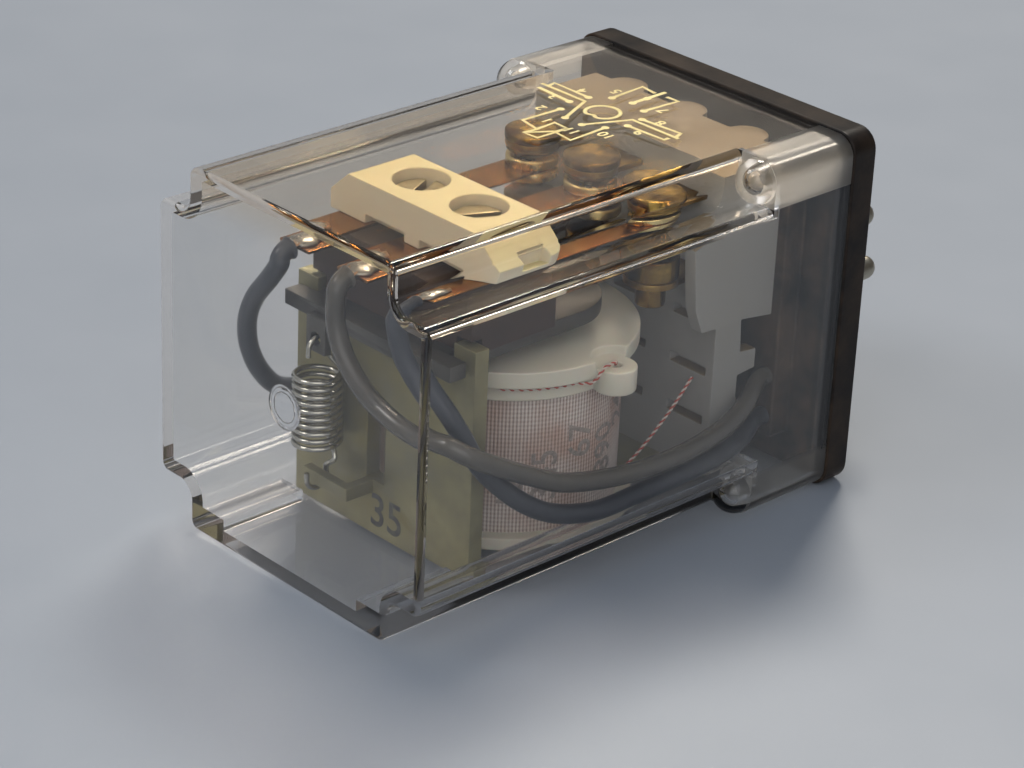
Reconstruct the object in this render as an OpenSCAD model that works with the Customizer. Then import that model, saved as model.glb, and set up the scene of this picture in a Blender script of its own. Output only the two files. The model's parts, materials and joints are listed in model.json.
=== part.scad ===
// Plug-in electromagnetic relay with three changeover poles under a clear dust cover.
// It lies on its side: +X is the way the plug pins point, +Z goes up through the printed face.
// The origin is the centre of the pin circle on the seating face of the base.

/* [Cover] */
// Wall thickness of the cover
cover_wall = 1.2; // [1:0.1:1.3]
// Depth and width of the notch along each long edge
notch = 4.3; // [3.8:0.1:4.5]
// Radius in the inside corner of each notch
notch_fillet = 1.6; // [1:0.1:2.4]
// Radius of the outside edges of the cover
cover_edge_r = 0.9; // [0.4:0.1:1.1]
// Radius of the outside edges next to the base, where the notches are filled by ears
ear_r = 2; // [1.6:0.1:2.4]
// Length of the ears from the open edge of the cover to their domed ends
ear_len = 10.2; // [8:0.1:11]
// Free space between the wiring and the end wall
end_space = 4.1; // [4.1:0.1:8]
// Height of the stiffening rails inside the cover
rail_h = 1.15; // [0.8:0.05:1.6]
// Width of the stiffening rails
rail_w = 3.05; // [2:0.05:4]
// Length of the stiffening rails
rail_len = 9.2; // [6:0.1:9.6]

/* [Base] */
// Thickness of the base plate outside the cover
plate_t = 3; // [2.6:0.1:4]
// How far the base plate stands out past the cover
plate_margin = 0.2; // [0.1:0.05:0.5]
// Length of the step that centres the cover
rim_t = 1.2; // [0.8:0.1:2]
// Depth of the plinth inside the cover
plinth_t = 3.5; // [3:0.1:5]
// Width and height of the plinth
plinth_w = 26; // [25.6:0.1:27]
// Gap round pieces that are pressed, moulded or screwed in
seat_gap = 0.02; // [0.01:0.01:0.05]
// Gap between the cover and the step of the base
cover_gap = 0.1; // [0.05:0.01:0.15]

/* [Plug] */
// Number of plug pins
pin_count = 11; // [7:1:11]
// Diameter of a plug pin
pin_d = 2.36; // [2.2:0.01:2.5]
// Diameter of the shank of a plug pin inside the base
pin_shank_d = 2; // [1.6:0.1:2]
// Length of the shank of a plug pin inside the base
pin_root = 5; // [3:0.1:6]
// Length of a plug pin below the base
pin_len = 11.2; // [9:0.1:13]
// Diameter of the circle of pins
pin_circle_d = 19.05; // [18.5:0.05:19.5]
// Diameter of the keyed spigot
spigot_d = 9.6; // [8:0.1:11]
// Length of the keyed spigot
spigot_len = 12.5; // [10:0.1:15]
// Length of the root of the spigot, pressed into the base
spigot_root = 2.5; // [2:0.1:3]
// Width of the key on the spigot
key_w = 2.2; // [1.6:0.1:2.6]
// Height of the key above the spigot
key_h = 1.3; // [1:0.1:1.6]

/* [Contact carrier] */
// Depth of the carrier from the plinth to its contact face
carrier_depth = 7.5; // [7:0.1:9]
// Thickness of the upright wall that holds the terminals
stem_t = 3.4; // [3:0.1:4]
// Thickness of the two side cheeks
cheek_t = 1.4; // [1:0.1:1.6]
// How far the near cheek reaches over the contacts
cheek_reach = 3.5; // [2.5:0.1:4]
// Gap between the carrier and the notched corners of the cover
carrier_gap = 0.25; // [0.15:0.05:0.5]
// Gap between the top of the carrier and the cover
carrier_top_gap = 1.35; // [1:0.05:1.8]
// Distance of the fixing pegs to each side of the plug axis
peg_y = 6.5; // [6:0.1:7]
// Distance of the fixing pegs above and below the plug axis
peg_z = 11.5; // [11.4:0.1:11.6]
// Diameter of the fixing pegs
peg_d = 2.4; // [2:0.1:2.6]

/* [Contacts] */
// Distance between neighbouring poles
pole_pitch = 7.8; // [7.6:0.1:7.9]
// Diameter of a contact button
contact_d = 5; // [4:0.1:5.2]
// Height of a moving contact above and below its spring
contact_h = 1.15; // [0.9:0.05:1.3]
// Gap between an outer contact and the cheek beside it
contact_side_gap = 0.3; // [0.2:0.05:0.6]
// Distance of the contacts from the face of the carrier
contact_reach = 4.6; // [4.2:0.1:5.5]
// Gap between a moving contact and the contact that it rests against
contact_gap = 0.05; // [0.03:0.01:0.1]
// Height of the centre of the moving springs
spring_z = 10.2; // [10:0.1:10.4]
// Thickness of a moving spring
leaf_t = 0.3; // [0.2:0.05:0.4]
// Width of a moving spring
leaf_w = 4; // [3.4:0.1:4.4]
// Thickness of a fixed terminal
terminal_t = 0.6; // [0.4:0.05:0.8]
// Width of a fixed terminal
terminal_w = 4.6; // [4:0.1:5]
// Height of the centre of the lower terminals
lower_terminal_z = 5.1; // [4.9:0.1:5.2]
// Diameter of the rivet tail under a lower contact
rivet_d = 2.8; // [2.2:0.1:3]

/* [Coil] */
// Radius of the bobbin flanges
flange_r = 12.2; // [11.8:0.1:12.4]
// Thickness of the upper bobbin flange
flange_t = 1.6; // [1.2:0.1:2]
// Height of the ledge below the upper flange
ledge_h = 1.5; // [1.2:0.1:2]
// Depth of the upper flange below the pivot edge
coil_drop = 1.9; // [1.7:0.1:2.4]
// Thickness of the lower bobbin disc
disc_t = 0.6; // [0.4:0.1:1]
// Diameter of the iron core
core_d = 7; // [6:0.1:7.6]
// Diameter of the pole face on the core
pole_d = 9; // [8:0.1:10]
// Wall of the bobbin hub
hub_wall = 0.9; // [0.6:0.1:1.2]
// Radius of the wound wire
winding_r = 10.6; // [9.6:0.1:11]
// Thickness of the tape round the winding
tape_t = 0.35; // [0.2:0.05:0.5]
// Diameter of the terminal boss on the bobbin
boss_d = 3.9; // [3.2:0.1:4.2]
// Space between the coil and the contact carrier
coil_space = 2.9; // [2.6:0.1:4]
// Diameter of the coil wire
coil_wire_d = 0.3; // [0.2:0.02:0.4]

/* [Yoke and armature] */
// Thickness of the upright yoke plate
yoke_t = 1.6; // [1.2:0.1:2]
// Width of the yoke plate
yoke_w = 22.4; // [22:0.1:22.8]
// Thickness of the yoke leg under the coil
leg_t = 1.4; // [1.2:0.1:1.6]
// Width of the yoke leg
leg_w = 12; // [11:0.1:13]
// Gap between the yoke leg and the cover
floor_gap = 0.15; // [0.1:0.01:0.3]
// Gap between the coil and the yoke plate
coil_clear = 0.3; // [0.2:0.05:0.6]
// Height of the pivot edge above the plug axis
pivot_z = 3.4; // [3.3:0.1:3.6]
// Gap between the yoke edge and the armature
pivot_gap = 0.05; // [0.03:0.01:0.08]
// Thickness of the armature
armature_t = 1.5; // [1.3:0.1:1.7]
// Width of the armature over the coil
armature_w = 18; // [16:0.1:19]
// Length of the armature past the core centre
armature_reach = 6.6; // [6:0.1:7.2]
// Width of the locating lugs of the yoke
lug_w = 2.8; // [2.4:0.1:3.2]
// Height of the locating lugs above the pivot edge
lug_h = 2.6; // [2:0.1:3]
// Angle of the armature from rest to pulled in
pull_angle = 2.6; // [2:0.1:3]
// Gap between the armature and the lugs
lug_gap = 0.3; // [0.2:0.05:0.5]

/* [Return spring] */
// Outer diameter of the return spring
coil_spring_d = 4.7; // [4:0.1:4.9]
// Wire diameter of the return spring
spring_wire = 0.42; // [0.3:0.02:0.46]
// Number of turns of the return spring
spring_turns = 8; // [6:1:8]
// Length of the wound body of the return spring
spring_body = 7.3; // [7.1:0.1:7.6]
// Distance of the return spring behind the yoke
spring_stand = 2.7; // [2.6:0.1:3.4]
// Distance of the return spring from the middle
spring_y = 5; // [4.4:0.1:5.4]
// Radius of the hooks of the return spring
hook_r = 1.15; // [1.1:0.05:1.3]

/* [Clamped stack] */
// Height of the clamp block above the moving springs
clamp_h = 3.95; // [3.6:0.05:4.1]
// Depth of the clamp block along the springs
clamp_depth = 7.8; // [7:0.1:9]
// Distance from the pivot to the back of the clamp block
clamp_back = 1.2; // [0.8:0.1:1.6]
// Distance from an outer spring to the end of the clamp block
clamp_side = 1.2; // [0.9:0.1:1.4]
// Width of the slope at each end of the clamp block
clamp_slope = 2.4; // [1.8:0.1:2.8]
// Length of the lower insulating block
stack_len = 10; // [9:0.1:11]
// Diameter of a clamp screw head
screw_head_d = 4.6; // [4:0.1:4.8]
// Diameter of a clamp screw shank
screw_d = 2.4; // [2:0.1:2.6]
// Length of the spring tails behind the yoke
tail_len = 3.3; // [3:0.1:4]

/* [Wiring] */
// Diameter of an insulated lead
lead_d = 1.8; // [1.4:0.1:1.9]
// Gap between a lead and the tail of its moving spring
lead_gap = 0.4; // [0.35:0.05:0.6]
// Radius of the first bend of a lead
lead_bend_r = 1.3; // [1.1:0.05:1.4]

/* [Hidden] */
$fn = 48;
eps = 0.01;

// Widths worked out from the poles to the cover round them
carrier_w = 2 * (pole_pitch + contact_d / 2 + contact_side_gap + cheek_t);
clamp_w = 2 * (pole_pitch + leaf_w / 2 + clamp_side);
inner_step = carrier_w / 2 + carrier_gap;
step = inner_step + cover_wall;
half = step + notch;
inner = half - cover_wall;
plate_half = half + plate_margin;
dome_r = notch / 2;
dome_c = half - dome_r;

// Places along the plug axis, from the seating face inwards
edge_x = -plate_t;
rim_x = edge_x - rim_t;
plinth_x = edge_x - plinth_t;
stem_x = plinth_x - carrier_depth;
stem_back = stem_x + stem_t;
contact_x = stem_x - contact_reach;
coil_x = stem_x - coil_space - flange_r;
hinge_x = coil_x - flange_r - coil_clear;
yoke_back = hinge_x - yoke_t;
spring_x = yoke_back - spring_stand;
tail_x = yoke_back - tail_len;
lead_x = tail_x - lead_gap - lead_bend_r - lead_d / 2;
end_x = lead_x - end_space;
case_x = end_x - cover_wall;

// Heights, from the floor of the cover upwards
leg_z = -inner + floor_gap;
leg_top = leg_z + leg_t;
flange_top = pivot_z - coil_drop;
ledge_top = flange_top - flange_t;
winding_top = ledge_top - ledge_h;
winding_bottom = leg_top + disc_t;
hub_r = core_d / 2 + 0.1;
core_neck_d = 4.5;
tape_r = winding_r + tape_t;
ledge_r = flange_r - 0.7;
disc_r = winding_r - 0.1;
lower_flange_t = 1.2;
armature_z = pivot_z + pivot_gap;
armature_top = armature_z + armature_t;
leaf_z = spring_z - leaf_t / 2;
leaf_top = spring_z + leaf_t / 2;
clamp_z = leaf_top;
clamp_top = clamp_z + clamp_h;
carrier_top = inner - carrier_top_gap;
lug_inner = yoke_w / 2 - lug_w;

// Height of a point of the armature group once the armature is pulled in
function pulled_z(x, z) = pivot_z + (z - pivot_z) * cos(pull_angle) - (x - hinge_x) * sin(pull_angle);
core_top = pulled_z(coil_x + pole_d / 2, armature_z) - 0.06;
upper_button_z = leaf_top + contact_h + contact_gap;
upper_button_h = 0.65;
upper_terminal_z = upper_button_z + upper_button_h;
lower_button_z = lower_terminal_z + terminal_t / 2;
lower_button_top = pulled_z(contact_x + contact_d / 2, leaf_z - contact_h) - contact_gap;
terminal_back_gap = 1;
terminal_end = plinth_x - terminal_back_gap;
shank_d = 2;
dome_sag = 0.25;
rivet_gap = 1.1;
key_end = 1;

// Flare round each plug pin on the seating face
pin_flare = 0.4;
pin_flare_gap = 0.15;

// Details of the carrier
bar_x = stem_x - 0.4;
bar_z = upper_terminal_z - 2.3;
lobe_r = 2.1;
lobe_reach = 2;
lobe_z = plinth_w / 2 + 0.1;
slot_rows = [0, -5, -10];
slot_h = 0.9;
slot_depth = 1.2;
slot_left = 3.2;
slot_right = 1.3;
peg_boss_d = 4.4;
peg_end = 0.4;
arm_low_z = -0.5;
catch_z = [-5.4, -3.4];
catch_reach = 2.3;
foot_z = -9.6;
nose_z = 2.7;

// Details of the yoke
window = [-1.1, 1.3, -11.6, -3.6];
anchor_w = 1;
anchor_h = 1.3;
anchor_z = window[2] - anchor_h / 2 + 0.7;
anchor_end_y = spring_y + hook_r + 0.25;
leg_screw_y = 3.5;
leg_screw_d = 2;
leg_screw_head_d = 3.8;
leg_screw_len = 6;
leg_screw_slot = 0.5;
leg_sink = leg_t * 0.7;
leg_screw_x = stem_x + stem_t / 2;

// Details of the armature
neck_back = yoke_back - lug_gap;
tail_bar = 1.9;
tail_back = neck_back - tail_bar;
neck_front = hinge_x + lug_gap;
tail_w = 20.8;
tab_w = 2.6;
tab_t = 0.8;
tab_hole_d = 1.3;
tab_hole_drop = 1.2;
tab_hole_z = pivot_z - tab_hole_drop;
tab_low_z = tab_hole_z - tab_hole_d;
corner_r = 6;

// Details of the return spring
spring_r = (coil_spring_d - spring_wire) / 2;
spring_top_drop = 3.2;
spring_top_z = tab_hole_z - spring_top_drop;
spring_low_z = spring_top_z - spring_body;
upper_hook_z = tab_hole_z - 1;
lower_hook_z = anchor_z;
rings_per_turn = 8;

// Details of the clamped stack
clamp_x = hinge_x + clamp_back;
clamp_front = clamp_x + clamp_depth;
stack_x = clamp_front - stack_len;
stack_w = 2 * pole_pitch + leaf_w + 0.2;
screw_set = 4.4;
screw_x = clamp_x + screw_set;
screw_y = pole_pitch / 2 - 0.1;
screw_recess = 0.9;
screw_head_h = 1.5;
bore_wall = 0.3;
clamp_corner_r = 1.5;
end_chamfer_z = clamp_top - 2.1;
pocket_back = 2.9;
pocket_x = 3.1;
pocket_h = 2.2;
pocket_depth = 1.5;
screw_slot = 0.8;
screw_turn = 25;
tail_recess = [1, 6.2];
tail_recess_h = 0.85;

// Terminal boss of the coil, seen from the middle of the coil
boss_out = 0.2;
boss_at = [1.8, -flange_r - boss_out];
boss_z = flange_top - 0.8;
boss_hole_d = 1.1;

// Where each lead enters the plinth, and the points between its first bend and there
lead_in_y = 11.9;
lead_end_len = 0.9;
lead_in_z = -6.8;
low_lead_in_z = -11;
route_1 = [
  [-48.2, 9.2, 7], [-48, 11.4, 4.4], [-47.6, 12.9, 1.6], [-47, 13.4, -1.4], [-45.8, 13.2, -4.2],
  [-43.6, 13.2, -6.4], [-39.6, 13.6, -7.6], [-35, 14, -8.4], [-30, 14.3, -8.8], [-25, 14.3, -8.8],
  [-20, 14.1, -8.6], [-15.6, 13.8, -8.4], [-12, 13.5, -8.2], [-9.8, 13, -7.6], [-8.2, 12.3, -7]
];
route_2 = [
  [-48.2, 0, 6], [-48.2, -1.4, 3.2], [-48.1, -4, 0.9], [-48, -7.4, -0.4],
  [-48.1, -11, -0.7], [-48, -13.4, -0.5], [-46.8, -15, -1.3], [-44.2, -15.5, -2.8],
  [-40.4, -15.5, -4.9], [-36.6, -15.5, -6.8], [-31.8, -15.5, -8.1], [-27, -15.5, -8.8],
  [-22, -15.3, -9.1], [-17.6, -14.8, -9.1], [-13.6, -14.1, -8.8], [-10.6, -13.3, -8],
  [-8.6, -12.4, -7.1]
];
route_3 = [
  [-48, -8.5, 6.2], [-47.3, -10, 3.6], [-46.4, -11.6, 1.2], [-45.6, -12.6, -0.9],
  [-44.7, -13.2, -3], [-43, -13.9, -5.3], [-40.4, -14.8, -7.8], [-37, -15.3, -9.8],
  [-32, -15.4, -11.2], [-27, -15.4, -11.25], [-22, -15.3, -11.25], [-17.4, -15, -11.25],
  [-13.4, -14.4, -11.2], [-10.4, -13.3, -11.1], [-8.6, -12.3, -11]
];

// The wire on the ledge goes round the coil, then out past the edge of the flange and down into the boss
ledge_wire_gap = 0.25;
ledge_wire_drop = 0.2;
ledge_wire_angles = [224, 237, 250, 259];
ledge_wire_points = [
  [-1.3, 0.1, 0], [-0.9, 0.5, 0.4], [-0.6, 0.7, 1], [-0.1, 0.8, 1.5], [0.9, 0.8, 1.6], [1.6, 0.4, 1.3],
  [1.8, 0.2, 0.8], [1.8, 0.2, 0.2]
];
wire_1 = concat(
  [for (a = ledge_wire_angles) [(ledge_r + ledge_wire_gap) * cos(a), (ledge_r + ledge_wire_gap) * sin(a), 0]],
  [for (p = ledge_wire_points) [p[0], -flange_r - p[1], p[2]]]
);

// The slanting wire leaves the tape low down, and its other points are measured from the carrier
slant_wire_gap = 0.33;
slant_wire_angle = -50;
slant_wire_z = -13.2;
slant_wire_points = [[-5.9, -9.4, -11], [-3.1, -10, -7.8], [-0.5, -9.9, -5.4]];
slant_wire_start = (tape_r + slant_wire_gap) * [cos(slant_wire_angle), sin(slant_wire_angle)];
wire_2 = concat(
  [[slant_wire_start[0], slant_wire_start[1], slant_wire_z]],
  [for (p = slant_wire_points) [stem_x - coil_x + p[0], p[1], p[2]]]
);

// Tubes swept along a list of points
function unit(v) = v / norm(v);
function tangent(p, i) = unit(p[min(i + 1, len(p) - 1)] - p[max(i - 1, 0)]);
function square_to(v, t) = unit(v - (v * t) * t);
function side_vectors(p) = [
  for (i = 0, n = square_to([0.3, 0.9, 0.2], tangent(p, 0)); i < len(p);
       i = i + 1, n = square_to(n, tangent(p, min(i, len(p) - 1)))) n
];
function ring_points(p, r, sides) = let (n = side_vectors(p)) [
  for (i = [0 : len(p) - 1]) let (t = tangent(p, i))
    for (k = [0 : sides - 1]) let (a = 360 * k / sides) p[i] + r * (cos(a) * n[i] + sin(a) * cross(t, n[i]))
];
function wall_faces(rings, sides) = [
  for (i = [0 : rings - 2]) for (k = [0 : sides - 1])
    let (a = i * sides + k, b = i * sides + (k + 1) % sides)
      for (f = [[a, a + sides, b + sides], [a, b + sides, b]]) f
];
function cap_faces(first, sides, far) = [
  for (k = [1 : sides - 2]) far ? [first, first + k + 1, first + k] : [first, first + k, first + k + 1]
];

module tube(p, r, sides) {
  polyhedron(
    points = ring_points(p, r, sides),
    faces = concat(
      wall_faces(len(p), sides),
      cap_faces(0, sides, false),
      cap_faces((len(p) - 1) * sides, sides, true)
    )
  );
}

// The return spring, from the lower hook up through the turns to the upper hook
function hook(z, up, out) = [
  for (a = [0 : 30 : 180]) [spring_x + out * hook_r * cos(a), spring_y, z + up * hook_r * sin(a)]
];
function spring_turn_points() = [
  for (i = [0 : rings_per_turn * spring_turns])
    let (a = 360 * i / rings_per_turn, h = i / (rings_per_turn * spring_turns))
      [spring_x + spring_r * cos(a), spring_y + spring_r * sin(a), spring_low_z + spring_body * h]
];
lower_hook = concat(
  [[spring_x - hook_r, spring_y, lower_hook_z + 0.6]],
  hook(lower_hook_z, -1, -1),
  [[spring_x + hook_r, spring_y, lower_hook_z + 0.8], [spring_x + 1.7, spring_y - 0.5, lower_hook_z + 1.5]]
);
upper_hook = concat(
  [[spring_x + 1.8, spring_y + 0.6, spring_top_z + 0.75], [spring_x + hook_r, spring_y, upper_hook_z - 0.7]],
  hook(upper_hook_z, 1, 1),
  [[spring_x - hook_r, spring_y, upper_hook_z - 0.6]]
);
spring_path = concat(lower_hook, spring_turn_points(), upper_hook);
spring_gap = min([
  for (i = [0 : len(spring_path) - 1]) for (k = [i + 5 : 1 : len(spring_path) - 1])
    norm(spring_path[i] - spring_path[k])
]) - spring_wire;
echo(least_gap_between_spring_turns = spring_gap);

// Cylinders along the plug axis
module along_x(x0, x1, d) {
  translate([x0, 0, 0]) rotate([0, 90, 0]) cylinder(d = d, h = x1 - x0);
}

module box(x0, x1, y0, y1, z0, z1) {
  translate([x0, y0, z0]) cube([x1 - x0, y1 - y0, z1 - z0]);
}

// A plate standing on the width direction, cut from an outline of [x, z] points
module side_plate(points, y0, y1) {
  translate([0, y1, 0]) rotate([90, 0, 0]) linear_extrude(height = y1 - y0) polygon(points);
}

// A block along the plug axis, cut from a two-dimensional child in [y, z]
module prism_x(x0, x1) {
  translate([x0, 0, 0]) rotate([90, 0, 90]) linear_extrude(height = x1 - x0) children();
}

module rounded_rect(w, h, r) {
  square([w, h - 2 * r], center = true);
  square([w - 2 * r, h], center = true);
  for (y = [-1, 1]) for (z = [-1, 1]) translate([y * (w / 2 - r), z * (h / 2 - r)]) circle(r = r);
}

// Outline of the cover: a square with a notch at each corner
module notched_square(h, n, edge_r, fillet) {
  rounded_rect(2 * h, 2 * n, edge_r);
  rounded_rect(2 * n, 2 * h, edge_r);
  for (y = [0, 1]) for (z = [0, 1]) mirror([y, 0]) mirror([0, z]) translate([n - eps, n - eps])
    difference() {
      square(fillet);
      translate([fillet, fillet]) circle(r = fillet);
    }
}

module at_corners(c) {
  for (y = [-1, 1]) for (z = [-1, 1]) translate([0, y * c, z * c]) children();
}

module base() {
  color("#1b1a1a") difference() {
    union() {
      prism_x(edge_x, 0) rounded_rect(2 * plate_half, 2 * plate_half, ear_r);
      prism_x(rim_x, edge_x)
        rounded_rect(2 * (inner - cover_gap), 2 * (inner - cover_gap), ear_r - cover_wall - cover_gap);
      prism_x(plinth_x, edge_x) square(plinth_w, center = true);
    }
    at_pins() {
      along_x(-pin_root - seat_gap, eps, pin_shank_d + 2 * seat_gap);
      along_x(-pin_flare, eps, pin_d + 2 * pin_flare_gap);
    }
    at_pegs() along_x(plinth_x - eps, eps, peg_d + 2 * seat_gap);
    keyed_post(-spigot_root - seat_gap, eps, eps, seat_gap);
  }
}

// A round post with a key along its lower side, made larger all round by grow
module keyed_post(x0, x1, key_x1, grow) {
  along_x(x0, x1, spigot_d + 2 * grow);
  box(x0, key_x1, -key_w / 2 - grow, key_w / 2 + grow, -spigot_d / 2 - key_h - grow, 0);
}

module key_spigot() {
  color("#1b1a1a") keyed_post(-spigot_root, spigot_len, spigot_len - key_end, 0);
}

module at_pins() {
  for (k = [0 : pin_count - 1])
    rotate([90 + 360 * k / pin_count, 0, 0]) translate([0, pin_circle_d / 2, 0]) children();
}

module contact_pins() {
  color("#c9c3b2") at_pins() union() {
    along_x(-pin_root, pin_d, pin_shank_d);
    along_x(0, pin_len - pin_d / 2, pin_d);
    intersection() {
      translate([pin_len - pin_d / 2, 0, 0]) sphere(d = pin_d);
      along_x(pin_len - pin_d / 2, pin_len, pin_d);
    }
  }
}

module cover() {
  ear_front = edge_x - ear_len;
  color([0.8, 0.78, 0.74, 0.35]) difference() {
    union() {
      prism_x(case_x, edge_x) notched_square(half, step, cover_edge_r, notch_fillet);
      prism_x(ear_front, edge_x) rounded_rect(2 * half, 2 * half, ear_r);
      at_corners(dome_c) translate([ear_front, 0, 0]) sphere(r = dome_r);
    }
    prism_x(end_x, edge_x + eps) notched_square(inner, inner_step, 0.2, notch_fillet + cover_wall);
    prism_x(ear_front + cover_wall, edge_x + eps) rounded_rect(2 * inner, 2 * inner, ear_r - cover_wall);
    at_corners(dome_c) {
      translate([ear_front, 0, 0]) sphere(r = dome_r - cover_wall);
      along_x(ear_front, ear_front + cover_wall + eps, 2 * (dome_r - cover_wall));
    }
  }
  color([0.8, 0.78, 0.74, 0.35]) for (y = [0, 1]) mirror([0, y, 0])
    box(end_x - eps, end_x + rail_len, inner_step - rail_w, inner_step, -inner - eps, -inner + rail_h);
}

module at_pegs() {
  for (y = [-1, 1]) for (z = [-1, 1]) translate([0, y * peg_y, z * peg_z]) children();
}

module contact_carrier() {
  w = carrier_w / 2;
  cheek = [
    [plinth_x, carrier_top], [plinth_x, arm_low_z], [stem_back, arm_low_z + 0.6],
    [stem_back + 0.2, catch_z[1] + 0.2], [stem_back + catch_reach, catch_z[1]],
    [stem_back + catch_reach, catch_z[0]], [stem_back, catch_z[0] - 0.2], [stem_back, foot_z],
    [stem_x, foot_z], [stem_x, 0.1], [stem_x - cheek_reach + 1.6, 0.2], [stem_x - cheek_reach + 0.6, nose_z],
    [stem_x - cheek_reach, bar_z - 1.1], [bar_x, bar_z], [bar_x, carrier_top]
  ];
  color("#9a958b") difference() {
    union() {
      box(bar_x, plinth_x, -w, w, bar_z, carrier_top);
      box(stem_x, stem_back, -w, w, leg_top, bar_z + eps);
      side_plate(cheek, -w, -w + cheek_t);
      side_plate(cheek, w - cheek_t, w);
      for (p = [-1, 0, 1]) translate([plinth_x, p * pole_pitch, lobe_z]) {
        box(-eps, lobe_reach - lobe_r, -lobe_r, lobe_r, 0, carrier_top - lobe_z);
        intersection() {
          translate([lobe_reach - lobe_r, 0, 0]) cylinder(r = lobe_r, h = carrier_top - lobe_z);
          box(-eps, lobe_reach, -lobe_r, lobe_r, 0, carrier_top);
        }
      }
      for (y = [-1, 1]) translate([0, y * peg_y, -peg_z]) along_x(stem_back - eps, plinth_x, peg_boss_d);
      at_pegs() along_x(plinth_x - eps, -peg_end, peg_d);
    }
    for (p = [-1, 0, 1]) {
      terminal_slot(p * pole_pitch, upper_terminal_z);
      terminal_slot(p * pole_pitch, lower_button_z - terminal_t);
    }
    for (p = [-1, 0, 1]) for (z = slot_rows)
      box(
        stem_x - eps, stem_x + slot_depth, p * pole_pitch - slot_left, p * pole_pitch + slot_right,
        z, z + slot_h
      );
    for (y = [-1, 1]) translate([leg_screw_x, y * leg_screw_y, leg_top - eps])
      cylinder(d = leg_screw_d + 2 * seat_gap, h = leg_screw_len);
  }
}

module terminal_slot(y, z) {
  w = terminal_w / 2 + seat_gap;
  box(bar_x - 1, plinth_x + eps, y - w, y + w, z - seat_gap, z + terminal_t + seat_gap);
}

module yoke() {
  color("#b9a968") difference() {
    union() {
      box(yoke_back, hinge_x, -yoke_w / 2, yoke_w / 2, leg_z, pivot_z);
      box(hinge_x - eps, stem_back, -leg_w / 2, leg_w / 2, leg_z, leg_top);
      for (y = [-1, 1]) box(
        yoke_back, hinge_x, y > 0 ? lug_inner : -yoke_w / 2, y > 0 ? yoke_w / 2 : -lug_inner,
        pivot_z - eps, pivot_z + lug_h
      );
      box(spring_x - anchor_w / 2, yoke_back + eps, window[1] - anchor_w, window[1], anchor_z - anchor_h / 2,
        anchor_z + anchor_h / 2);
      box(spring_x - anchor_w / 2, spring_x + anchor_w / 2, window[1] - anchor_w, anchor_end_y,
        anchor_z - anchor_h / 2, anchor_z + anchor_h / 2);
    }
    box(yoke_back - eps, hinge_x + eps, window[0], window[1], anchor_z + anchor_h / 2, window[3]);
    translate([coil_x, 0, leg_z - eps]) cylinder(d = core_neck_d + 2 * seat_gap, h = leg_t + 1);
    for (y = [-1, 1]) translate([leg_screw_x, y * leg_screw_y, leg_z - eps]) {
      cylinder(d = leg_screw_d + 2 * seat_gap, h = leg_t + 1);
      cylinder(d1 = leg_screw_head_d + 2 * seat_gap, d2 = leg_screw_d + 2 * seat_gap, h = leg_sink);
    }
  }
}

module yoke_screws() {
  color("#9b9a96") for (y = [-1, 1]) translate([leg_screw_x, y * leg_screw_y, leg_z]) difference() {
    union() {
      cylinder(d1 = leg_screw_head_d, d2 = leg_screw_d, h = leg_sink);
      cylinder(d = leg_screw_d, h = leg_t + leg_screw_len - 0.2);
    }
    box(-leg_screw_slot / 2, leg_screw_slot / 2, -leg_screw_head_d, leg_screw_head_d, -eps, leg_screw_slot);
  }
}

module core() {
  color("#8d8a84") translate([coil_x, 0, 0]) {
    translate([0, 0, leg_z + 0.1]) cylinder(d = core_neck_d, h = leg_t);
    translate([0, 0, leg_top]) cylinder(d = core_d, h = core_top - leg_top);
    translate([0, 0, flange_top]) cylinder(d = pole_d, h = core_top - flange_top);
  }
}

module bobbin() {
  color("#e4e0d2") translate([coil_x, 0, 0]) difference() {
    union() {
      translate([0, 0, leg_top]) cylinder(r = hub_r + hub_wall, h = flange_top - leg_top);
      translate([0, 0, ledge_top]) cylinder(r = flange_r, h = flange_t);
      translate([0, 0, winding_top]) cylinder(r = ledge_r, h = ledge_h + eps);
      translate([0, 0, leg_top]) cylinder(r = disc_r, h = disc_t);
      difference() {
        translate([0, 0, leg_top - lower_flange_t]) cylinder(r = flange_r, h = lower_flange_t);
        box(-2 * flange_r, 2 * flange_r, -leg_w / 2 - 0.2, leg_w / 2 + 0.2, leg_z - 1, leg_top);
      }
      translate([boss_at[0], boss_at[1], winding_top]) cylinder(d = boss_d, h = boss_z - winding_top);
    }
    translate([0, 0, leg_z]) cylinder(r = hub_r, h = flange_top - leg_z + eps);
    translate([boss_at[0], boss_at[1], boss_z - 1.4]) cylinder(d = boss_hole_d, h = 2);
    translate([boss_at[0], boss_at[1], boss_z]) cylinder(d = boss_d + 2 * bore_wall, h = 2);
  }
}

module ring(r1, r2, z0, z1) {
  translate([coil_x, 0, z0]) difference() {
    cylinder(r = r2, h = z1 - z0);
    translate([0, 0, -1]) cylinder(r = r1, h = z1 - z0 + 2);
  }
}

module winding() {
  color("#b5653a") ring(hub_r + hub_wall + seat_gap, winding_r, winding_bottom, winding_top);
}

module coil_tape() {
  color("#cbb9aa") ring(winding_r, tape_r, leg_top, winding_top);
}

module coil_lead_wires() {
  color("#c0482f") translate([coil_x, 0, 0]) {
    tube([for (p = wire_1) [p[0], p[1], p[2] + ledge_top - ledge_wire_drop]], coil_wire_d / 2, 6);
    tube(wire_2, coil_wire_d / 2, 6);
  }
}

// A contact button with a slightly domed face, looking up
module button(d, h) {
  dome = (d * d / 4 + dome_sag * dome_sag) / (2 * dome_sag);
  intersection() {
    cylinder(d = d, h = h);
    translate([0, 0, h - dome]) sphere(r = dome, $fn = 96);
  }
}

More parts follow.
